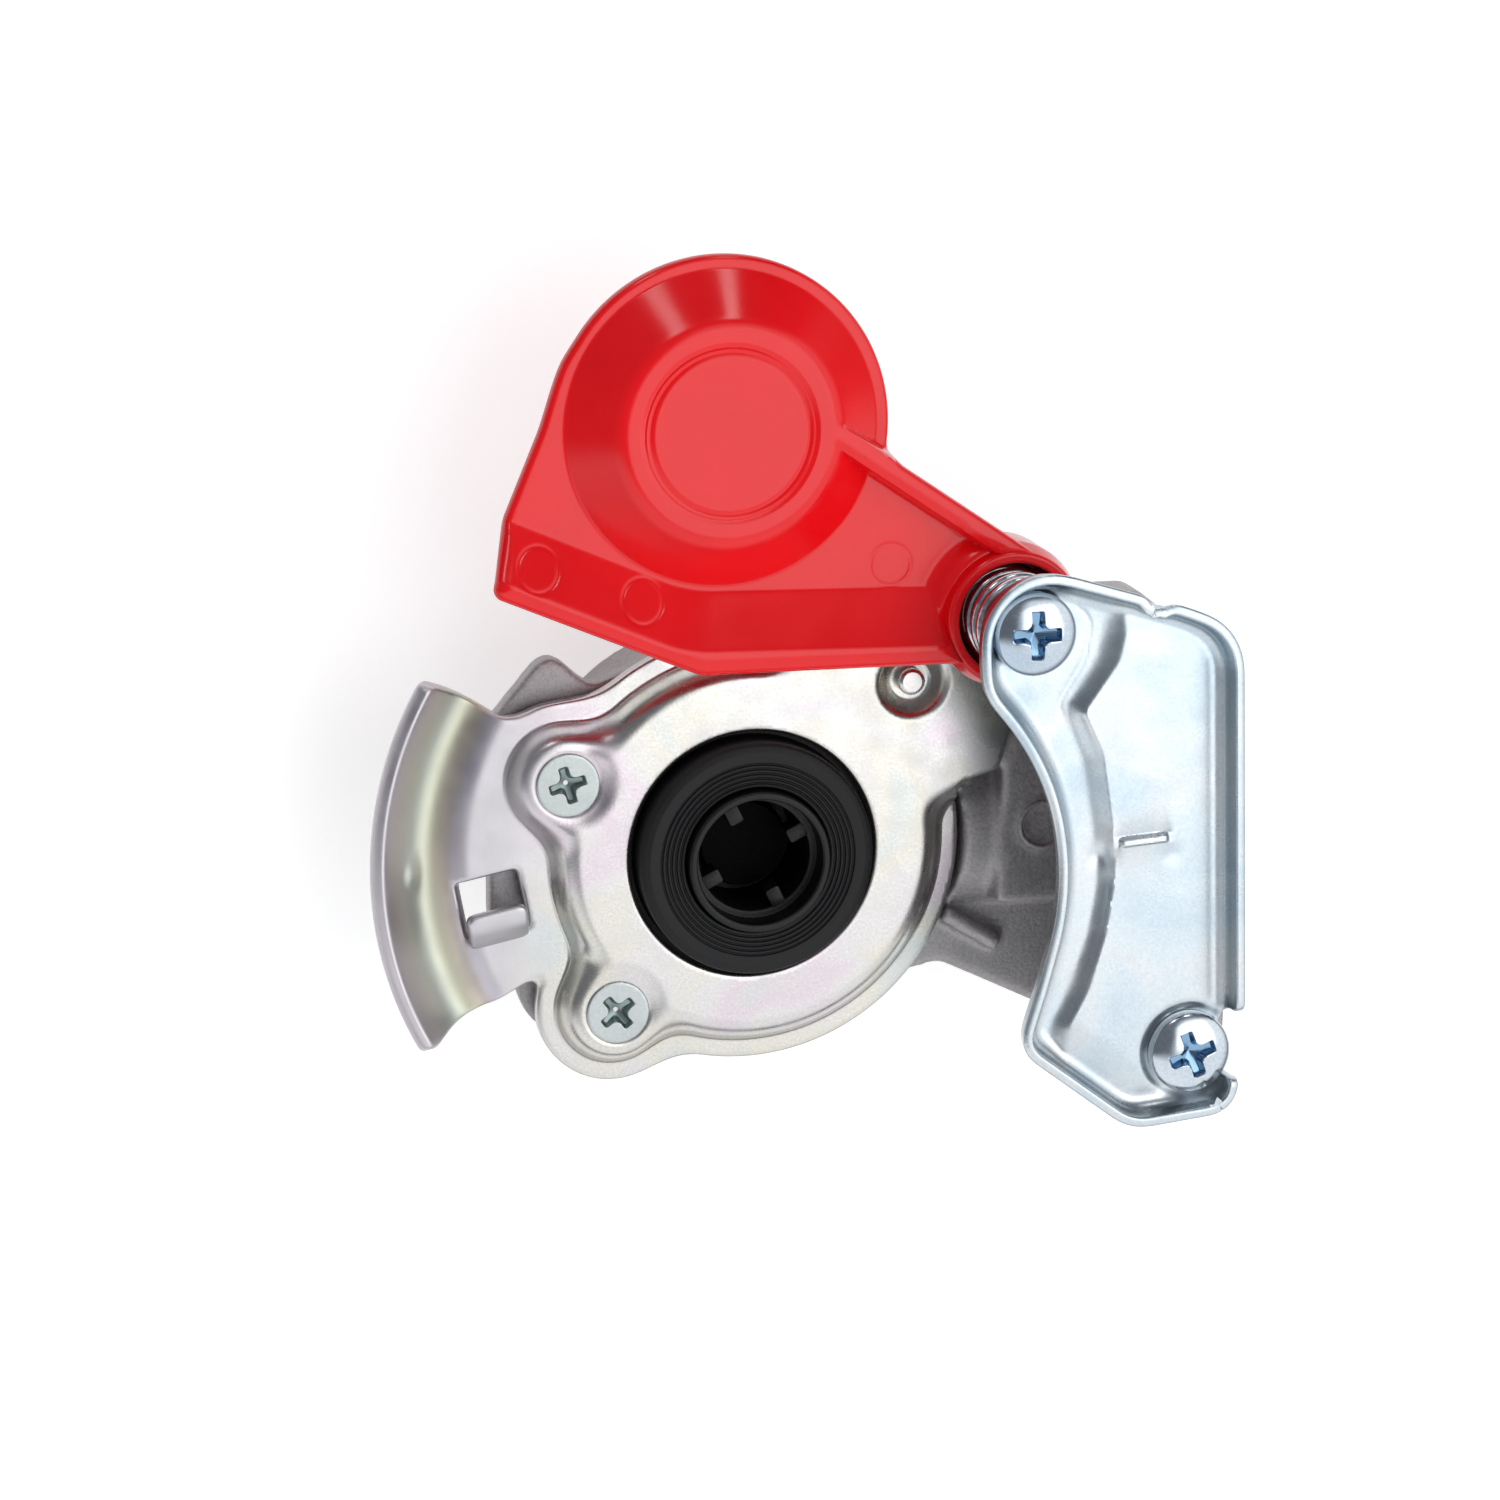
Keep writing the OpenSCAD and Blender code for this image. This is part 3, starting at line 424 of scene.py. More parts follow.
def plasticFinish():
    # glossy moulded polypropylene: even red with duller patches, and fine rings of the mould on the disc
    material, tree, shader, place = newFinish("redPolypropylene", {"IOR": 1.48, "Specular IOR Level": 0.42})
    cloud = addNode(tree, "ShaderNodeTexNoise", {"Scale": perMm(12), "Detail": 3.0}, {"Vector": place})
    tint = addNode(tree, "ShaderNodeValToRGB", links={"Fac": (cloud, "Fac")})
    setRamp(tint, [(0.3, "#e60c14"), (0.7, "#ee121a")])
    rough = addNode(tree, "ShaderNodeMapRange", spread(0.13, 0.18), {"Value": (cloud, "Fac")})
    skin = addNode(tree, "ShaderNodeTexNoise", {"Scale": perMm(0.5), "Detail": 3.0}, {"Vector": place})
    discAt = (mouldRings["at"][0] * mm, mouldRings["at"][1] * mm, 0)
    offset = addNode(tree, "ShaderNodeVectorMath", {1: discAt}, {0: place}, operation="SUBTRACT")
    flat = addNode(tree, "ShaderNodeVectorMath", {1: (1, 1, 0)}, {0: (offset, 0)}, operation="MULTIPLY")
    reach = addNode(tree, "ShaderNodeVectorMath", links={0: (flat, 0)}, operation="LENGTH")
    phase = addNode(tree, "ShaderNodeMath", {1: 2 * np.pi * perMm(mouldRings["pitch"])},
                    {0: (reach, "Value")}, operation="MULTIPLY")
    wave = addNode(tree, "ShaderNodeMath", links={0: (phase, 0)}, operation="SINE")
    start, end = mouldRings["fade"]
    inside = addNode(tree, "ShaderNodeMapRange", fromTo(start * mm, end * mm), {"Value": (reach, "Value")})
    rings = addNode(tree, "ShaderNodeMath", None, {0: (wave, 0), 1: (inside, "Result")},
                    operation="MULTIPLY")
    height = addNode(tree, "ShaderNodeMath", {1: mouldRings["share"]}, {0: (rings, 0), 2: (skin, "Fac")},
                     operation="MULTIPLY_ADD")
    bump = addNode(tree, "ShaderNodeBump", {"Strength": 0.3, "Distance": mouldRings["depth"] * mm},
                   {"Height": (height, 0)})
    dress(tree, shader, (tint, "Color"), rough, bump)
    return material


def blackFinish(name, dark, pale, low, high, grit, gloss):
    # black rubber or nylon: a dark skin with a fine dusty grit that dulls the gloss in spots
    material, tree, shader, place = newFinish(name, {"IOR": 1.52, "Specular IOR Level": gloss})
    dust = addNode(tree, "ShaderNodeTexNoise", {"Scale": perMm(grit), "Detail": 4.0}, {"Vector": place})
    tint = addNode(tree, "ShaderNodeValToRGB", links={"Fac": (dust, "Fac")})
    setRamp(tint, [(0.4, dark), (0.75, pale)])
    rough = addNode(tree, "ShaderNodeMapRange", spread(low, high), {"Value": (dust, "Fac")})
    bump = addNode(tree, "ShaderNodeBump", {"Strength": 0.3, "Distance": 0.03 * mm},
                   {"Height": (dust, "Fac")})
    dress(tree, shader, (tint, "Color"), rough, bump)
    return material


def wireFinish(name, dark, pale, roughness):
    # drawn steel: bright, with short streaks and small dull spots
    material, tree, shader, place = newFinish(name, {"Metallic": 1.0})
    streak = addNode(tree, "ShaderNodeTexNoise", {"Scale": perMm(0.6), "Detail": 3.0}, {"Vector": place})
    tint = addNode(tree, "ShaderNodeValToRGB", links={"Fac": (streak, "Fac")})
    setRamp(tint, [(0.3, dark), (0.7, pale)])
    rough = addNode(tree, "ShaderNodeMapRange", spread(roughness - 0.06, roughness + 0.06),
                    {"Value": (streak, "Fac")})
    dress(tree, shader, (tint, "Color"), rough)
    return material


plateZinc = zincFinish("zincPlateYellowTint", zinc["plate"], 0.26, 0.03, drawnTints=zinc["drawn"])
bracketZinc = zincFinish("zincPlateBlueTint", zinc["bracket"], 0.29, 0.03)
# the last colour of each screw finish is painted shade, a darker blue in the cross recess
screwZinc = zincFinish("zincScrewBlueTint", zinc["screw"], 0.14, 0.005, "#7fa0bd")
dullScrewZinc = zincFinish("zincScrewDull", zinc["dullScrew"], 0.36, 0.006, "#93a29f")
castAluminium = castFinish()
redPlastic = plasticFinish()
faceRubber = blackFinish("blackNitrileRubber", "#09090a", "#161618", 0.45, 0.62, 0.35, 0.3)
blackNylon = blackFinish("blackGlassNylon", "#070708", "#121214", 0.35, 0.5, 0.6, 0.3)
stemNylon = blackFinish("blackStemNylon", "#020202", "#060606", 0.6, 0.75, 0.6, 0.06)
springWire = wireFinish("zincSpringWire", "#a9adb3", "#d5d8dc", 0.2)
pinSteel = wireFinish("turnedSteelPin", "#b4b0ae", "#dcd8d6", 0.26)
print("stage: finishes ready")


# Coupling plate: pressed pad with a shoulder, rim flange, neck, bent tongue, and the claw on the left

plate = {
    "thickness": 2.5, "edgeR": 0.5, "edgeRows": (0, 0.1, 0.25, 0.5), "step": 0.42,
    "gridFrom": (-57, -37), "gridTo": (44, 46),
    "padR": 30, "blend": 5, "screwBossR": 9.2, "pinBossR": 8.3, "rim": 2.2, "drop": 4, "holeR": 18.3,
    "shoulder": (0.6, 4.1, 2.4),  # inset of its foot, width and power of the roll
    "ear": [(20, 4, 0.1), (30.5, 9.4, 4), (37, 11.6, 2), (39, 18, 4), (41.3, 35.6, 0.1), (31.6, 42.6, 0.1),
            (6, 28.6, 0.1), (0, 20, 0.1)],
    "earR": 6.8, "earCover": (4, 3),  # round end, and the reach and blend that keep the shoulder off the ear
    "clawR": 54.3, "clawFrom": 151, "clawTo": 211, "clawRound": 1.6, "neckBlend": 3, "earBlend": 2,
    "bendR": 42.5, "bendW": 3, "trough": 2, "lipStart": 49, "lipRise": 6.4,
    "detent": (-49.3, -2.6), "detentSize": (1.2, 2.4, 0.9),  # across, along and height
    "window": (-37.6, -7.6), "windowTurn": 13, "windowHalf": (4.8, 4.5), "windowRound": 1.2,
    "tongue": (4.4, 6.6), "tongueRound": 1.4, "tongueBend": (56, 2), "tongueThickness": 1.9,
    "tongueRoot": 0.8, "tongueInset": 0.6, "tongueSink": 0.25, "tongueFrom": (-6, -2), "tongueTo": (6, 8),
    "screwDimple": (6.9, 1.8, 0.55, 0.5), "screwSeat": (4.8, 1.9, 1.8, 0.1),
    "pinDimple": (5.1, 1.7, 2.4, 0.35),  # radius, width of the side, depth and softness
    "dimpleRings": (2.0, 7.0, 0.3), "pinRings": (2.0, 5.6, 0.3),  # finer points: from, to and step
    "foldRows": (-0.6, -0.4, -0.2, 0, 0.2, 0.4),
}
earOutline = roundedOutline(plate["ear"])


def padField(x, y):  # rounded union of the round pad and its bosses
    d = circleField(x, y, (0, 0), plate["padR"])
    for at in plateScrewsAt:
        d = smoothMin(d, circleField(x, y, at, plate["screwBossR"]), plate["blend"])
    return smoothMin(d, circleField(x, y, pinAt, plate["pinBossR"]), plate["blend"])


def earField(x, y):
    return smoothMin(outlineField(x, y, earOutline), circleField(x, y, hingeAt, plate["earR"]), 1.0)


def shoulderField(x, y):  # distance to the foot of the pad's rolled shoulder, which the ear hides
    cover, blend = plate["earCover"]
    return smoothMin(padField(x, y), earField(x, y) - cover, blend) + plate["shoulder"][0]


def plateField(x, y):  # outline: pad and rim, claw sector and ear, less the seal hole and the window
    r = np.hypot(x, y)
    a, b = np.radians(plate["clawFrom"]), np.radians(plate["clawTo"])
    sides = np.maximum(x * np.sin(a) - y * np.cos(a), -x * np.sin(b) + y * np.cos(b))
    sector = smoothMax(r - plate["clawR"], sides, plate["clawRound"])
    d = smoothMin(padField(x, y) - plate["rim"], sector, plate["neckBlend"])
    d = smoothMin(d, earField(x, y), plate["earBlend"])
    wx, wy = plate["window"]
    u, v = placed(x - wx, y - wy, (0, 0), -plate["windowTurn"])
    halfU, halfV = plate["windowHalf"]
    window = smoothMax(np.abs(u) - halfU, np.abs(v) - halfV, plate["windowRound"])
    return np.maximum(np.maximum(d, plate["holeR"] - r), -window)


def dimple(x, y, at, shape):  # depth of a round dimple with a sloped side
    radius, width, depth, softness = shape
    return depth * ramp((radius - circleField(x, y, at)) / width, softness)


def plateHeight(x, y):
    # flat pad, shoulder rolled down to the rim and neck, trough and lip of the claw, screw and pin dimples
    width, power = plate["shoulder"][1:]
    roll = np.maximum(shoulderField(x, y) / width + 1, 0) ** power
    z = -plate["drop"] * smoothMin(roll, 1, 0.12)
    r = np.where(x < 0, np.hypot(x, y), 0)
    z -= plate["trough"] * ramp((r - plate["bendR"]) / plate["bendW"], 0.5)
    lip = (r - plate["lipStart"]) / (plate["clawR"] - plate["lipStart"])
    z += plate["lipRise"] * smoothMax(lip, 0, 0.35)
    across, along, height = plate["detentSize"]
    z += height * bell(x - plate["detent"][0], across) * bell(y - plate["detent"][1], along)
    for at in plateScrewsAt:
        z -= dimple(x, y, at, plate["screwDimple"]) + dimple(x, y, at, plate["screwSeat"])
    return z - dimple(x, y, pinAt, plate["pinDimple"])


def tongueField(a, b):  # flat tongue: a across, b along from its root
    half, length = plate["tongue"]
    ends = np.maximum(-plate["tongueRoot"] - b, b - length)
    return smoothMax(np.abs(a) - half, ends, plate["tongueRound"])


def tongueSurface(a, b):  # the tongue bent up at its root, its slope falling evenly along its length
    low, high = np.radians(plate["tongueBend"])
    length = plate["tongue"][1]
    along = np.linspace(-plate["tongueRoot"], length, 200)
    slope = low + (high - low) * np.clip(along / length, 0, 1)
    step = along[1] - along[0]
    out = np.cumsum(np.cos(slope)) * step - plate["tongueRoot"]
    up = np.cumsum(np.sin(slope)) * step - plate["tongueSink"]
    v = np.interp(b, along, out) - plate["windowHalf"][1] - plate["tongueInset"]
    x, y = placed(a, v, plate["window"], plate["windowTurn"])
    return np.stack([x, y, np.interp(b, along, up) - plate["drop"]], axis=1)


rings = [(at, *plate["dimpleRings"]) for at in plateScrewsAt] + [(pinAt, *plate["pinRings"])]
x, y, tris = fieldGrid(plateField, plate["gridFrom"], plate["gridTo"], plate["step"], plate["edgeRows"],
                       rings, [(shoulderField, plate["foldRows"])])
surface = np.stack([x, y, plateHeight(x, y)], axis=1)
sheet = pressedSheet(surface, tris, plateField(x, y), plate["thickness"], plate["edgeR"])
a, b, tongueTris = fieldGrid(tongueField, plate["tongueFrom"], plate["tongueTo"], plate["step"],
                             plate["edgeRows"])
tongue = pressedSheet(tongueSurface(a, b), tongueTris, tongueField(a, b), plate["tongueThickness"],
                      plate["edgeR"])
newPiece("pressedCouplingPlate", *joined(sheet, tongue), "head", "plate_zinc", plateZinc,
         "coupling_plate")
print("stage: coupling plate", len(tris))


# Guide bracket: a tray with a flared flange, a raised plateau, a lanced slit and a crimp in its top flange

bracket = {
    "thickness": 1.5, "edgeR": 0.35, "edgeRows": (0, 0.08, 0.2, 0.45), "step": 0.36,
    "gridFrom": (18, -45), "gridTo": (76, 56),
    "floor": 19.7, "flange": 4.5, "bendR": 2.6, "flare": 8, "soften": 1.4,
    "corners": [(34.0, -24.2, 4.5), (51.6, -37, 8), (67.8, -34.9, 4.5), (68.4, -20, 3), (65, 37.4, 9.5),
                (56, 40.6, 10), (24.9, 49.1, 9.9), (26.6, 28.2, 8)],
    "arcR": 39, "arc": (40, -31), "arcParts": 4,
    "gap": (-29.8, -19.8), "gapFrom": 58, "gapAbove": 1.5, "gapRound": 1.5,
    "plateau": 1.4, "plateauCurve": (1.06, 2.7), "shoulder": (1.2, 5.2),  # factor and power; start and width
    "dish": (7.5, 1.1, 0.65, 0.4),  # radius, width of the side, share sunk and softness
    "crease": [(40.5, 60, 1), (40.6, 41, 1.5), (43.4, 38, 3), (42.6, 32.4, 6), (39.0, 26.2, 3),
               (41.5, 19, 8), (43.6, 10, 12), (45.4, -0.5, 12), (44.0, -8, 10), (40.4, -18, 6), (36, -26, 2),
               (36, -60, 1), (90, -60, 1), (90, 60, 1)],
    "edge": [(48.8, 60, 1), (48.4, 36, 4), (47.4, 32, 5), (42.6, 24.9, 1.5), (45.7, 18.8, 6),
             (47.6, 8.3, 10), (48.3, 0, 10), (47.4, -8, 10), (45.2, -16.4, 8), (42.6, -21.5, 3),
             (42.6, -60, 1), (90, -60, 1), (90, 60, 1)],
    "creaseLine": (0.10, 0.32), "creaseFrom": (22, 4),  # depth and width, and where it fades in
    "slit": ((48.8, 5.5), (56.2, 6.2)), "slitRings": ((52.5, 5.9), 0.2, 5.0, 0.18),
    "bar": (0.75, 0.35, 0.5),  # half width, width of the side and height
    "lift": (0.25, 2.4), "dip": (0.35, 1.6),  # height and reach of the pressed sheet
    "dimples": [((56.8, 3.6), 0.14), ((46.4, 3.4), 0.3)], "dimpleR": 1.4,
    "crimp": (52.4, 2.1, 1.2), "crimpAbove": 36, "crimpBend": (1.5, 3), "crimpWave": (0.15, 3.1, 2.3),
}


def trayCorners():  # corners of the tray's outline, its inner arc as a polygon that touches the circle
    high, low = bracket["arc"]
    half = (high - low) / (2 * bracket["arcParts"])
    turns = np.radians(high - half * np.arange(1, 2 * bracket["arcParts"], 2))
    r = bracket["arcR"] / np.cos(np.radians(half))
    return bracket["corners"] + [(r * np.cos(t), r * np.sin(t), bracket["arcR"]) for t in turns]


bracketOutline = roundedOutline(trayCorners())
creaseOutline = roundedOutline(bracket["crease"])
plateauOutline = roundedOutline(bracket["edge"])


def trayField(x, y):  # distance to the tray's outline, averaged over a small ring to round inner corners
    total = outlineField(x, y, bracketOutline)
    ring = np.arange(6) * np.pi / 3
    for dx, dy in zip(bracket["soften"] * np.cos(ring), bracket["soften"] * np.sin(ring)):
        total = total + outlineField(x + dx, y + dy, bracketOutline)
    return total / (len(ring) + 1)


bendTurn = np.radians(90 - bracket["flare"])
bendArc = bracket["bendR"] * bendTurn
flangeFlat = (bracket["flange"] - bracket["bendR"] * (1 - np.cos(bendTurn))) / np.sin(bendTurn)
bendStart = -(bracket["thickness"] + bracket["bendR"]) * np.sin(bendTurn) - flangeFlat * np.cos(bendTurn)
flatReach = bendStart + bendArc + flangeFlat


def flatBracketField(x, y):  # outline of the flat blank before its flange is turned up, less the gap
    d = trayField(x, y)
    low, high = bracket["gap"]
    side = smoothMax(bracket["gapFrom"] - x, bendStart + bracket["gapAbove"] - d, 1.0)
    gap = smoothMax(smoothMax(low - y, y - high, 1.0), side, 2.5)
    return smoothMax(d - flatReach, -gap, bracket["gapRound"])


def stripField(t, low, high, edge, k):  # 1 between low and high, ramped over an edge inside both
    return ramp((t - low) / edge, k) * ramp((high - t) / edge, k)


def besideSlit(across, press):  # height of the sheet pressed beside the slit, fading away from it
    height, reach = press
    return height * (ramp((across - 0.3) / 0.5, 0.4) * np.exp(-np.maximum(across - 0.7, 0) / reach))


def slitStep(x, y):  # lanced bar, sheet lifted below it and dipped above, and a dimple at each end
    (ax, ay), (bx, by) = bracket["slit"]
    n = np.hypot(bx - ax, by - ay)
    along = ((x - ax) * (bx - ax) + (y - ay) * (by - ay)) / n
    across = ((y - ay) * (bx - ax) - (x - ax) * (by - ay)) / n
    half, side, rise = bracket["bar"]
    bar = ramp((half - np.abs(across)) / side, 0.3) * stripField(along, 0, n, 0.5, 0.3)
    beside = besideSlit(-across, bracket["lift"]) - besideSlit(across, bracket["dip"])
    z = rise * bar + stripField(along, -0.6, n + 0.6, 1.2, 0.4) * beside
    for at, depth in bracket["dimples"]:
        z -= depth * bell(circleField(x, y, at), bracket["dimpleR"])
    return z


def plateauRise(x, y, d, c):  # share of the plateau's height: its slope, its sides and the screw's dish
    e = -outlineField(x, y, plateauOutline)
    slope = np.clip(np.where(e >= 0, 1, c / np.maximum(c - e, 0.3)), 0, 1)
    factor, power = bracket["plateauCurve"]
    rise = smoothMin(factor * slope ** power, 1, 0.35)
    start, width = bracket["shoulder"]
    return rise * ramp((-d - start) / width, 0.5) * (1 - dimple(x, y, bracketScrewAt, bracket["dish"]))


def crimpDent(x, y, q):  # dent in the top flange, its face a little uneven
    at, half, push = bracket["crimp"]
    start, width = bracket["crimpBend"]
    share, waveX, waveY = bracket["crimpWave"]
    dent = push * np.exp(-((x - at) / half) ** 4) * ramp((q - start) / width, 0.4)
    return dent * (y > bracket["crimpAbove"]) * (1 + share * np.sin(waveX * x) * np.sin(waveY * y))


def bracketSurface(x, y):  # the blank with its flange turned up round the bend, and its floor pressed
    d = trayField(x, y)
    nx, ny = fieldSlope(trayField, x, y)
    q = np.maximum(d - bendStart, 0)
    turn = np.minimum(q / bracket["bendR"], bendTurn)
    past = np.maximum(q - bendArc, 0)
    side = bracket["bendR"] * np.sin(turn) + past * np.cos(bendTurn)
    up = bracket["bendR"] * (1 - np.cos(turn)) + past * np.sin(bendTurn)
    c = -outlineField(x, y, creaseOutline)
    z = bracket["plateau"] * plateauRise(x, y, d, c) + slitStep(x, y)
    depth, width = bracket["creaseLine"]
    start, fade = bracket["creaseFrom"]
    z -= depth * bell(c, width) * ramp((y - start) / fade, 0.3) * (d < bendStart)
    moved = side - q - crimpDent(x, y, q)
    z = np.minimum(bracket["floor"] + z + up, bracket["floor"] + bracket["flange"])
    return np.stack([x + nx * moved, y + ny * moved, z], axis=1)


x, y, tris = fieldGrid(flatBracketField, bracket["gridFrom"], bracket["gridTo"], bracket["step"],
                       bracket["edgeRows"], [bracket["slitRings"]])
verts, faces = pressedSheet(bracketSurface(x, y), tris, flatBracketField(x, y), bracket["thickness"],
                            bracket["edgeR"])
verts[:, 2] = np.minimum(verts[:, 2], bracket["floor"] + bracket["flange"])
newPiece("pressedGuideBracket", verts, faces, "head", "bracket_zinc", bracketZinc, "guide_bracket")
print("stage: guide bracket", len(tris))


# Dust flap: moulded web with a cup, an upturned grip, a rib and the hinge boss

flap = {
    "turn": 147.3, "arm": 51, "rimR": 24.3, "webTop": 8.0, "webBottom": 5.6,
    "gridFrom": (-3, -26), "gridTo": (78, 40), "step": 0.36, "edgeRows": (0, 0.12, 0.3, 0.6, 0.9, 1.3),
    "web": [(0, -9.5, 0.5), (51, -9.5, 1), (75.3, 1, 6), (70, 27, 3), (66.4, 37.0, 1.6), (34.8, 30.8, 5),
            (2.6, 9.1, 2), (0, 2.6, 1)],
    "cupFoot": 22.6, "cupTopR": 15.5, "cupRise": 5.6, "wall": 2.2, "hollowTop": 0.6, "hollowRise": 0.2,
    "cupRings": [(9.6, 23.4, 0.26), (22.2, 23.1, 0.13)], "grooves": (11.4, 12.3), "groove": (0.2, 0.26),
    "grip": [(8.5, 0), (42, 21.6), (68.8, 26.6)], "gripW": 8.1, "gripRise": 5.0, "gripWall": 0.8,
    "gripRows": (-0.3, -0.15, 0, 0.15, 0.3),
    "rib": (-8.0, 1.9, 39.2), "ribRise": (4.0, 1.5, 14, 24),  # height, further rise, and its start and run
    "crown": 0.35, "ribSide": 0.6, "ribRows": (-0.5, -0.3, -0.1, 0.1, 0.3, 0.5),
    "collar": (13.4, 2.8, 2.4), "collarSink": 0.4,  # radius of its foot, width and height
    "bossR": 10.7, "bossTop": 12, "bossBottom": 0.4, "bossTaper": 0.9, "bossOverlap": 1.2,
    "pocketR": 8.2, "pocketFloor": 3.2, "boreR": 4.55,
    "marks": [(19.0, 3.2), (62.8, 30.4), (47.4, 26.4)], "markR": 3.0, "markLine": (0.12, 0.25),
    "markRings": (2.4, 3.6, 0.2), "edgeR": 0.8, "lipEdge": (1.8, 5), "edgeDrop": 1.5, "underDrop": 0.5,
}
flapOutline = roundedOutline(flap["web"])
cupAt = (flap["arm"], 0)


def gripField(u, v):  # distance outwards from the grip's fold
    (ax, ay), (bx, by), (cx, cy) = flap["grip"]
    n = np.hypot(bx - ax, by - ay)
    m = np.hypot(cx - bx, cy - by)
    one = (-(by - ay) * (u - bx) + (bx - ax) * (v - by)) / n
    two = (-(cy - by) * (u - bx) + (cx - bx) * (v - by)) / m
    return smoothMax(one, two, 1.5)


def ribField(u, v):  # strip of the rib, from the boss to the cup
    middle, half, reach = flap["rib"]
    return np.maximum(np.abs(v - middle) - half, u - reach)


def flapField(u, v):  # outline of web, round rim and grip, less the hole in the boss
    d = smoothMin(outlineField(u, v, flapOutline), circleField(u, v, cupAt, flap["rimR"]), 2.0)
    return np.maximum(d, flap["bossR"] - flap["bossOverlap"] - np.hypot(u, v))


def ribTop(u, v):  # rib that rises towards the cup, with a crowned top
    low, more, start, run = flap["ribRise"]
    across = np.clip((v - flap["rib"][0]) / flap["rib"][1], -1, 1)
    rise = low + more * np.clip((u - start) / run, 0, 1) - flap["crown"] * across ** 2
    side = flap["ribSide"]
    return flap["webTop"] + rise * ramp((side / 2 - ribField(u, v)) / side, 0.25)


def flapTop(u, v):
    # web, cone of the cup with a double ring groove, grip slope, flared foot of the boss, and rib
    r = circleField(u, v, cupAt)
    climb = smoothMin((flap["cupFoot"] - r) / (flap["cupFoot"] - flap["cupTopR"]), 1, 0.16)
    cone = flap["cupRise"] * smoothMax(climb, 0, 0.03)
    depth, width = flap["groove"]
    for ring in flap["grooves"]:
        cone -= depth * bell(r - ring, width)
    grip = flap["gripRise"] * ramp(gripField(u, v) / flap["gripW"], 0.03)
    z = flap["webTop"] + smoothMax(cone, grip, 0.2)
    foot, width, height = flap["collar"]
    sink = flap["collarSink"]
    collar = flap["webTop"] - sink + (height + sink) * ramp((foot - np.hypot(u, v)) / width, 0.3)
    z = smoothMax(z, collar, 0.4)
    depth, width = flap["markLine"]
    for at in flap["marks"]:
        z -= depth * bell(circleField(u, v, at, flap["markR"]), width)
    return smoothMax(z, ribTop(u, v), 0.3)


def flapBottom(u, v):  # flat under the web, hollow under the cup, sloped under the grip
    r = circleField(u, v, cupAt)
    foot, top = flap["cupFoot"] - flap["wall"], flap["cupTopR"] - flap["wall"] + flap["hollowTop"]
    cone = (flap["cupRise"] + flap["hollowRise"]) * ramp((foot - r) / (foot - top), 0.16)
    grip = flap["gripRise"] * ramp((gripField(u, v) - flap["gripWall"]) / flap["gripW"], 0.14)
    return flap["webBottom"] + smoothMax(cone, grip, 0.9)


rings = [(cupAt, *ring) for ring in flap["cupRings"]] + [(at, *flap["markRings"]) for at in flap["marks"]]
u, v, tris = fieldGrid(flapField, flap["gridFrom"], flap["gridTo"], flap["step"], flap["edgeRows"], rings,
                       [(gripField, flap["gripRows"]), (ribField, flap["ribRows"])])
broader, reach = flap["lipEdge"]  # the edge's rounding broadens up the grip
edgeWidth = flap["edgeR"] + broader * ramp(gripField(u, v) / reach, 0.3)
drop = edgeRound(flapField(u, v), edgeWidth) * np.minimum(flap["edgeDrop"] / edgeWidth, 1)
x, y = placed(u, v, hingeAt, flap["turn"])
shell = closedSheet(np.stack([x, y, flapTop(u, v) - drop], axis=1),
                    np.stack([x, y, flapBottom(u, v) + np.minimum(drop, flap["underDrop"])], axis=1), tris)
boss = turned(roundedOutline([
    (flap["boreR"], flap["bossBottom"], 0.2), (flap["bossR"], flap["bossBottom"], 0.4),
    (flap["bossR"], flap["webTop"], 1.0), (flap["bossR"] - flap["bossTaper"], flap["bossTop"], 0.7),
    (flap["pocketR"], flap["bossTop"], 0.5), (flap["pocketR"], flap["pocketFloor"], 0.4),
    (flap["boreR"], flap["pocketFloor"], 0.2)]), hingeAt, 128)
newPiece("mouldedDustFlap", *joined(shell, boss), "flap", "red_plastic", redPlastic, "dust_flap")
print("stage: dust flap", len(tris))


# Seal, sleeve, pin and spring, turned and coiled

seal = {"innerR": 10.8, "outerR": 17.3, "flangeR": 20.3, "top": 3.5, "flangeTop": -2.8, "bottom": -5.9,
        "chamfer": (1.3, 0.4), "grooves": (11.5, 12.2, 12.9, 13.6, 14.3), "grooveW": 0.44,
        "grooveDepth": 0.4}


def sealCorners():  # flange, outer wall with a rounded chamfer, then the grooves from the outside in
    inset, down = seal["chamfer"]
    corners = [(seal["innerR"], seal["bottom"], 0.2), (seal["flangeR"], seal["bottom"], 0.3),
               (seal["flangeR"], seal["flangeTop"], 0.3), (seal["outerR"], seal["flangeTop"], 0.3),
               (seal["outerR"], seal["top"] - down, 0.8), (seal["outerR"] - inset, seal["top"], 0.6)]
    half, floor = seal["grooveW"] / 2, seal["top"] - seal["grooveDepth"]
    for r in seal["grooves"][::-1]:
        corners += [(r + half, seal["top"], 0.12), (r, floor, 0.12), (r - half, seal["top"], 0.12)]
    return corners + [(seal["innerR"], seal["top"], 0.3)]


newPiece("faceSealRing", *turned(roundedOutline(sealCorners()), steps=160), "head", "seal_rubber",
         faceRubber, "seal_ring", sharp=50)

sleeve = {"footR": 10.2, "foot": -17.9, "pistonR": 14.5, "pistonLow": -13.9, "pistonTop": -6.3,
          "ringR": 12.85, "ringLow": -11.15, "ringTop": -9.05, "lipR": 10.5, "top": 5, "boreR": 9.3,
          "flowR": 8.2, "seatR": 5, "seatTop": -10.9, "seatFall": 1, "ribTop": 1.2, "ribBore": 5.6,
          "ribW": 2.2, "ribL": 3.8, "ribSunk": 0.4, "ribTurn": 28,
          "ribSections": [(-0.25, 1.0), (-0.06, 0.95), (0, 0.86)]}  # height from the rib's top, share of size


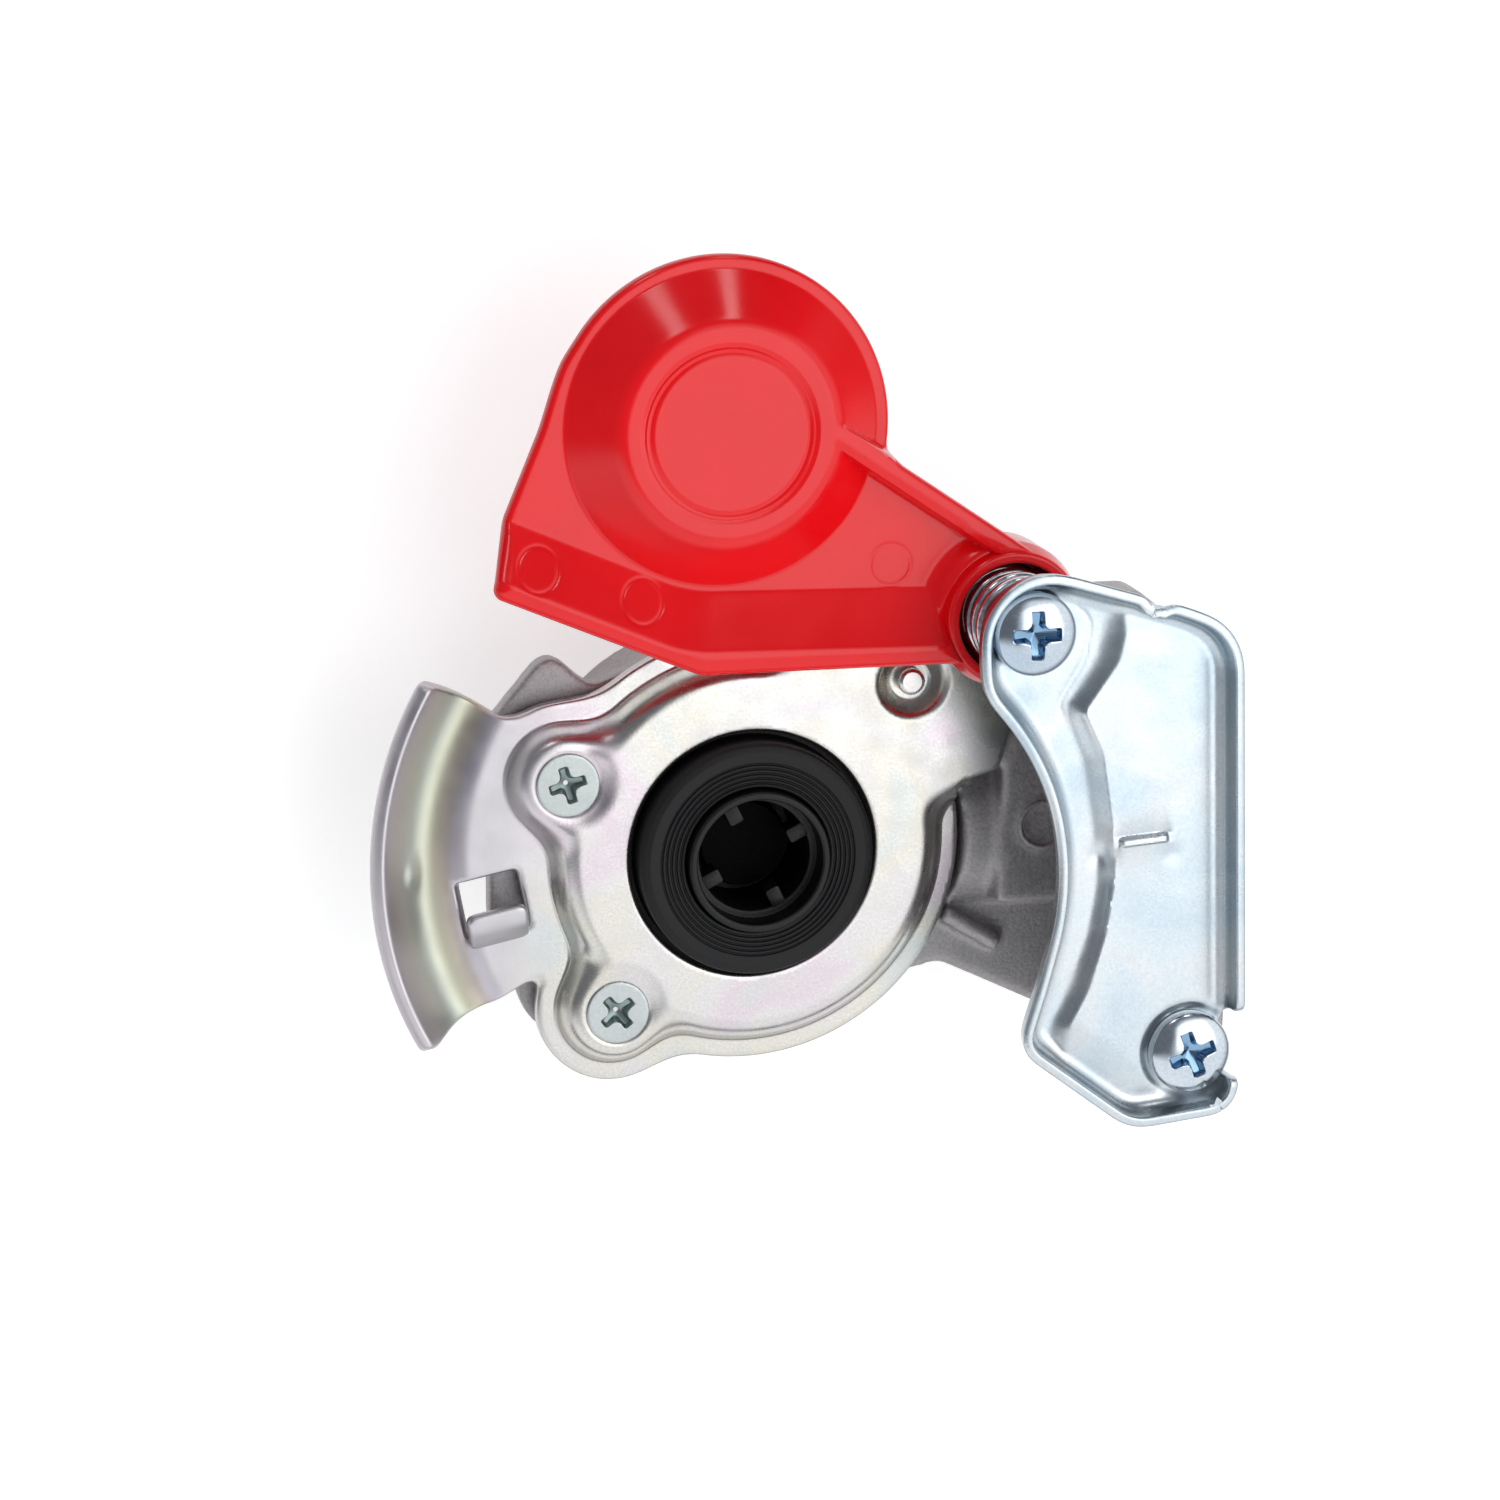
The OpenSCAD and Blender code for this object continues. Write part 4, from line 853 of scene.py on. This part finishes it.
def sleeveCorners():  # foot, piston with the ring's groove, lip, bore, and the seat with a sloped underside
    low, seat = sleeve["pistonLow"], sleeve["seatR"]
    return [(sleeve["footR"], sleeve["foot"], 0.3), (sleeve["footR"], low, 0.3),
            (sleeve["pistonR"], low, 0.4), (sleeve["pistonR"], sleeve["ringLow"], 0.2),
            (sleeve["ringR"], sleeve["ringLow"], 0.2),
            (sleeve["ringR"], sleeve["ringTop"], 0.2), (sleeve["pistonR"], sleeve["ringTop"], 0.2),
            (sleeve["pistonR"], sleeve["pistonTop"], 0.4), (sleeve["lipR"], sleeve["pistonTop"], 0.3),
            (sleeve["lipR"], sleeve["top"], 0.45), (sleeve["boreR"], sleeve["top"], 0.4),
            (sleeve["boreR"], sleeve["ribTop"], 0.2), (sleeve["flowR"], sleeve["ribTop"], 0.3),
            (sleeve["flowR"], sleeve["seatTop"], 0.2), (seat, sleeve["seatTop"], 0.2), (seat, low, 0.2),
            (sleeve["flowR"], low - sleeve["seatFall"], 0.2), (sleeve["flowR"], sleeve["foot"], 0.2)]


def sleeveRib(turn):  # a rounded block section carried upwards, tapering at its top
    inner, outer, half = sleeve["ribBore"], sleeve["flowR"] + sleeve["ribSunk"], sleeve["ribW"] / 2
    block = roundedOutline([(inner, -half, 0.4), (outer, -half, 0.1), (outer, half, 0.1),
                            (inner, half, 0.4)])
    middle = block.mean(axis=0)
    sections = [(-sleeve["ribL"], 1.0)] + sleeve["ribSections"]
    x, y = np.concatenate([middle + (block - middle) * share for _, share in sections]).T
    z = np.repeat([sleeve["ribTop"] + dz for dz, _ in sections], len(block))
    return np.column_stack([*placed(x, y, (0, 0), turn), z]), tubeFaces(len(sections), len(block))


ribs = [sleeveRib(sleeve["ribTurn"] + 90 * k) for k in range(4)]
newPiece("valveSleeveInsert", *joined(turned(roundedOutline(sleeveCorners()), steps=128), *ribs), "valve",
         "black_nylon", blackNylon, "valve_sleeve", sharp=40)

pin = {"r": 2.0, "top": -0.1, "bottom": -12, "chamfer": (0.5, 0.35)}
inset, down = pin["chamfer"]
pinCorners = [(0, pin["bottom"], 0), (pin["r"], pin["bottom"], 0.2), (pin["r"], pin["top"] - down, 0.4),
              (pin["r"] - inset, pin["top"], 0.3), (0, pin["top"], 0)]
newPiece("locatingPinTurned", *turned(roundedOutline(pinCorners), pinAt, 64, False), "head", "pin_steel",
         pinSteel, "locating_pin", merge=True)

flapSpring = {"meanR": 6.5, "wireR": 0.8, "low": 3.5, "high": 18.15, "turns": 5}
newPiece("flapCoilSpring", *coiledWire(hingeAt, **flapSpring), "head", "spring_steel", springWire,
         "flap_spring", sharp=60, merge=True)
print("stage: seal, sleeve, pin and spring")


# Screws: heads with a cross recess, as a height over a round grid, on a plain shank

panScrew = {"r": 6.0, "edgeTop": 21.2, "dome": 2.1, "side": 1.5, "shankR": 3, "shankTop": 19.7,
            "shank": 33.9, "recess": 3.5, "arm": 0.92, "depth": 2.6, "step": 0.14}
cskScrew = {"r": 4.65, "edgeTop": -0.5, "dome": 0, "side": 0.15, "shankR": 2.5, "shankTop": -2.6,
            "shank": 16, "recess": 2.75, "arm": 0.72, "depth": 2.0, "step": 0.12}
screwForm = {"domeReach": 1.06, "edgeR": 0.35, "edgeFall": 0.25, "recessSide": 0.3, "recessRise": 0.6,
             "seatGap": 0.05, "tip": 0.6, "shankSteps": 64}


def crossField(x, y, half, arm):  # cross of two bars with rounded inner corners
    a, b = np.abs(x), np.abs(y)
    return smoothMin(smoothMax(a - half, b - arm, 0.25), smoothMax(b - half, a - arm, 0.25), 1.1)


def screwSolid(at, turn, spec):
    # round grid bent down at the rim: low dome inside, straight side outside, less a tapering cross recess,
    # closed by a tapering underside, and a turned shank
    reach = spec["r"] + spec["side"]

    def disc(x, y):
        return np.hypot(x, y) - reach

    x, y, tris = fieldGrid(disc, (-reach - 1, -reach - 1), (reach + 1, reach + 1), spec["step"], (0, 0.1))
    r = np.hypot(x, y)
    bent = np.minimum(r, spec["r"])
    kept = bent / np.maximum(r, 1e-6)
    edge = screwForm["edgeR"]
    edgeShare = np.minimum(np.maximum(r - spec["r"] + edge, 0) / edge, 1)
    curve = np.sqrt(np.maximum(1 - (bent / (spec["r"] * screwForm["domeReach"])) ** 2, 0))
    z = spec["edgeTop"] + spec["dome"] * curve - np.maximum(r - spec["r"], 0)
    z -= screwForm["edgeFall"] * edge * edgeShare ** 2
    sunk = ramp(-crossField(x, y, spec["recess"], spec["arm"]) / screwForm["recessSide"], 0.2)
    z -= spec["depth"] * (1 - screwForm["recessRise"] * np.minimum(r / spec["recess"], 1)) * sunk
    top = np.stack([x * kept, y * kept, z], axis=1)
    rim = float(z[r > reach - 1e-3].mean())
    share = spec["r"] / reach
    taper = np.clip((spec["r"] - r * share) / (spec["r"] - spec["shankR"]), 0, 1)
    below = rim - screwForm["seatGap"] + (spec["shankTop"] - rim) * taper
    head = closedSheet(top, np.stack([x * share, y * share, below], axis=1), tris)
    low, tip, steps = spec["shankTop"] - spec["shank"], screwForm["tip"], screwForm["shankSteps"]
    profile = [(spec["shankR"] - tip, low), (spec["shankR"], low + tip), (spec["shankR"], spec["shankTop"])]
    shank = (turned(profile, steps=steps, closed=False)[0], tubeFaces(len(profile), steps))
    verts, faces = joined(head, shank)
    deep = np.concatenate([sunk, np.zeros(len(verts) - len(sunk))])
    return np.column_stack([*placed(verts[:, 0], verts[:, 1], at, turn), verts[:, 2]]), faces, deep


def newScrews(name, node, finish, *screws):  # one or more screws, with the recess as an attribute that places the painted recess shade
    piece = newPiece(name, *joined(*[s[:2] for s in screws]), "head", "screw_zinc", finish, node)
    mark = piece.data.attributes.new("recess", "FLOAT", "POINT")
    mark.data.foreach_set("value", np.concatenate([s[2] for s in screws]))


newScrews("hingePanScrew", "hinge_screw", screwZinc, screwSolid(hingeAt, 2, panScrew))
newScrews("lowerPanScrew", "bracket_screw", screwZinc, screwSolid(bracketScrewAt, 21, panScrew))
plateScrewTurns = (17, 40)
newScrews("platePanelScrews", "plate_screws", dullScrewZinc,
          *[screwSolid(at, turn, cskScrew) for at, turn in zip(plateScrewsAt, plateScrewTurns)])
print("stage: screws")


# Casting: the solid's own form with edges softened as a casting's are, a mark ring and the port's thread

casting = {"voxel": 0.65, "passes": 4, "flatX": 67.4, "flatBelow": -17,
           "markAt": (44.5, 2.5), "markR": 3.4, "markW": 0.4, "markZ": -1.9}


def softCasting():
    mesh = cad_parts["body_casting"].data.copy()
    bm = bmesh.new()
    bm.from_mesh(mesh)
    bmesh.ops.remove_doubles(bm, verts=bm.verts, dist=2e-6)
    bm.to_mesh(mesh)
    bm.free()
    p = np.empty(len(mesh.vertices) * 3)
    mesh.vertices.foreach_get("co", p)
    p = p.reshape(-1, 3)
    flat = (p[:, 1] < casting["flatBelow"] * mm) & (p[:, 0] > casting["flatX"] * mm)
    p[flat, 0] = casting["flatX"] * mm  # flat side beside the lower screw
    mesh.vertices.foreach_set("co", p.ravel())
    mesh.materials.clear()
    mesh.materials.append(castAluminium)
    piece = bpy.data.objects.new("castBody", mesh)
    bpy.context.scene.collection.objects.link(piece)
    grid = piece.modifiers.new("castGrid", "REMESH")
    grid.mode = "VOXEL"
    grid.voxel_size = casting["voxel"] * mm
    grid.use_smooth_shade = True
    soft = piece.modifiers.new("softEdges", "SMOOTH")
    soft.factor = 0.5
    soft.iterations = casting["passes"]
    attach(piece, "head")
    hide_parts("body_casting")


softCasting()

a = np.linspace(0, 2 * np.pi, 20, endpoint=False)
markProfile = np.column_stack([casting["markR"] + casting["markW"] * np.cos(a),
                               casting["markZ"] + casting["markW"] * np.sin(a)])
newPiece("castMarkRing", *turned(markProfile, casting["markAt"], 64), "head", "cast_aluminium",
         castAluminium, sharp=80)

thread = {"r": 10.25, "crest": 0.65, "flank": (1.25, 2.5), "pitch": 1.5, "mouth": 68.6, "length": 13,
          "axisZ": -17, "rows": 180, "columns": 96}


def portThread():
    # radius falls from the root by a pointed wave of the place along the axis less the turn times the pitch
    along = np.linspace(0, thread["length"], thread["rows"])
    turn = np.linspace(0, 2 * np.pi, thread["columns"], endpoint=False)
    s, t = np.meshgrid(along, turn, indexing="ij")
    phase = (s / thread["pitch"] - t / (2 * np.pi)) % 1
    fade = np.clip(np.minimum(s, thread["length"] - s) / thread["pitch"], 0, 1)
    high, fall = thread["flank"]
    r = thread["r"] - thread["crest"] * fade * np.clip(high - fall * np.abs(phase - 0.5), 0, 1)
    verts = np.stack([thread["mouth"] - s, r * np.cos(t), thread["axisZ"] + r * np.sin(t)], axis=2)
    return verts.reshape(-1, 3), [gridFaces(thread["rows"], thread["columns"], False, True)]


newPiece("portThread", *portThread(), "head", "cast_aluminium", castAluminium, sharp=50)
print("stage: casting")


# Inner pieces keep the solids' shapes

inner = {"valve_o_ring": faceRubber, "stem_seal": faceRubber, "valve_stem": stemNylon,
         "valve_spring": springWire, "hinge_sleeve": springWire}
for name, finish in inner.items():
    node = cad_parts[name]
    node.data.materials.clear()
    node.data.materials.append(finish)
print("stage: inner pieces")


# Studio: pale floor, softboxes, and a pale world with a dark flag at the upper left

studio = {
    "floorZ": -32.1, "floorHalf": 3000, "floor": "#dcdcdc", "glow": 0.55,
    "pale": "#f7f8fa", "flag": "#696c72", "sky": (0.08, 0.45), "low": 0.16, "level": 1.4,
    "right": (-0.10, 0.12), "front": (-0.25, -0.42), "back": (0.62, 0.46),  # where the flag ends
    "softboxes": {  # place, target and size in metres, and power in watts
        "mainSoftbox": ((0.285, 0.07, 0.64), (0.01, 0.02, 0), (0.46, 0.52), 0.8),
        "leftStrip": ((-0.27, 0.78, 0.49), (-0.008, 0.064, 0), (0.13, 0.28), 0.62),
        "leftCard": ((-0.9, -0.05, 0.14), (0, 0, 0), (1.0, 0.22), 0.55),
        "rightStrip": ((0.19, 0.85, 0.42), (-0.008, 0.064, 0), (0.10, 0.28), 0.5),
    },
}


def studioFloor():
    half, z = studio["floorHalf"], studio["floorZ"]
    verts = np.array([(-half, -half, z), (half, -half, z), (half, half, z), (-half, half, z)]) * mm
    mesh = bpy.data.meshes.new("studioFloor")
    mesh.from_pydata(verts.tolist(), [], [(0, 1, 2, 3)])
    floor = bpy.data.objects.new("studioFloor", mesh)
    bpy.context.scene.collection.objects.link(floor)
    material, tree, shader, _ = newFinish("paleStudioFloor", {
        "Base Color": linear(studio["floor"]), "Roughness": 0.9, "Emission Color": (1, 1, 1, 1)})
    path = addNode(tree, "ShaderNodeLightPath")
    seen = addNode(tree, "ShaderNodeMath", None, {0: (path, "Is Camera Ray"), 1: (path, "Is Glossy Ray")},
                   operation="MAXIMUM")
    seen = addNode(tree, "ShaderNodeMath", None, {0: (seen, 0), 1: (path, "Is Transmission Ray")},
                   operation="MAXIMUM")
    glow = addNode(tree, "ShaderNodeMath", {1: studio["glow"]}, {0: (seen, 0)}, operation="MULTIPLY")
    linkInputs(tree, shader, {"Emission Strength": (glow, 0)})
    mesh.materials.append(material)


def studioWorld():
    world = bpy.data.worlds.new("studioWorld")
    bpy.context.scene.world = world
    world.use_nodes = True
    tree = world.node_tree
    place = (addNode(tree, "ShaderNodeTexCoord"), "Generated")
    split = addNode(tree, "ShaderNodeSeparateXYZ", links={"Vector": place})
    right = addNode(tree, "ShaderNodeMapRange", fromTo(*studio["right"]), {"Value": (split, "X")})
    front = addNode(tree, "ShaderNodeMapRange", fromTo(*studio["front"]), {"Value": (split, "Y")})
    back = addNode(tree, "ShaderNodeMapRange", fromTo(*studio["back"]), {"Value": (split, "Y")})
    side = addNode(tree, "ShaderNodeMath", None, {0: (right, "Result"), 1: (back, "Result")},
                   operation="MULTIPLY")
    clear = addNode(tree, "ShaderNodeMath", None, {0: (side, 0), 1: (front, "Result")},
                    operation="MAXIMUM")
    tint = addNode(tree, "ShaderNodeValToRGB", links={"Fac": (clear, 0)})
    setRamp(tint, [(0.0, studio["flag"]), (1.0, studio["pale"])])
    level = addNode(tree, "ShaderNodeMapRange",
                    {**fromTo(*studio["sky"]), "To Min": studio["low"], "To Max": studio["level"]},
                    {"Value": (split, "Z")})
    linkInputs(tree, tree.nodes["Background"], {"Color": (tint, "Color"), "Strength": (level, "Result")})


def softbox(name, place, target, size, power):
    light = bpy.data.lights.new(name, "AREA")
    light.shape = "RECTANGLE"
    light.size, light.size_y = size
    light.energy = power
    lamp = bpy.data.objects.new(name, light)
    bpy.context.scene.collection.objects.link(lamp)
    lamp.location = Vector(place)
    lamp.rotation_euler = (Vector(target) - Vector(place)).to_track_quat("-Z", "Y").to_euler()


studioFloor()
studioWorld()
for name, settings in studio["softboxes"].items():
    softbox(name, *settings)

view = {"tilt": 19.5, "from": (-1, 1), "distance": 650, "shift": (-0.407, 15.13), "lens": 107.3,
        "sensor": 36, "clipStart": 0.01}


def photoCamera():
    tilt = np.radians(view["tilt"])
    side = np.sin(tilt) / np.sqrt(2)
    back = Vector((view["from"][0] * side, view["from"][1] * side, np.cos(tilt)))
    turn = Vector((0, 0, 1)).rotation_difference(back).to_matrix()
    place = turn @ Vector((*view["shift"], view["distance"]))
    camera = bpy.data.cameras.new("photoCamera")
    camera.lens = view["lens"]
    camera.sensor_width = view["sensor"]
    camera.clip_start = view["clipStart"]
    rig = bpy.data.objects.new("photoCamera", camera)
    bpy.context.scene.collection.objects.link(rig)
    rig.matrix_world = Matrix.Translation(place * mm) @ turn.to_4x4()
    bpy.context.scene.camera = rig


photoCamera()
bpy.context.scene.view_settings.view_transform = "Standard"
print("stage: studio")
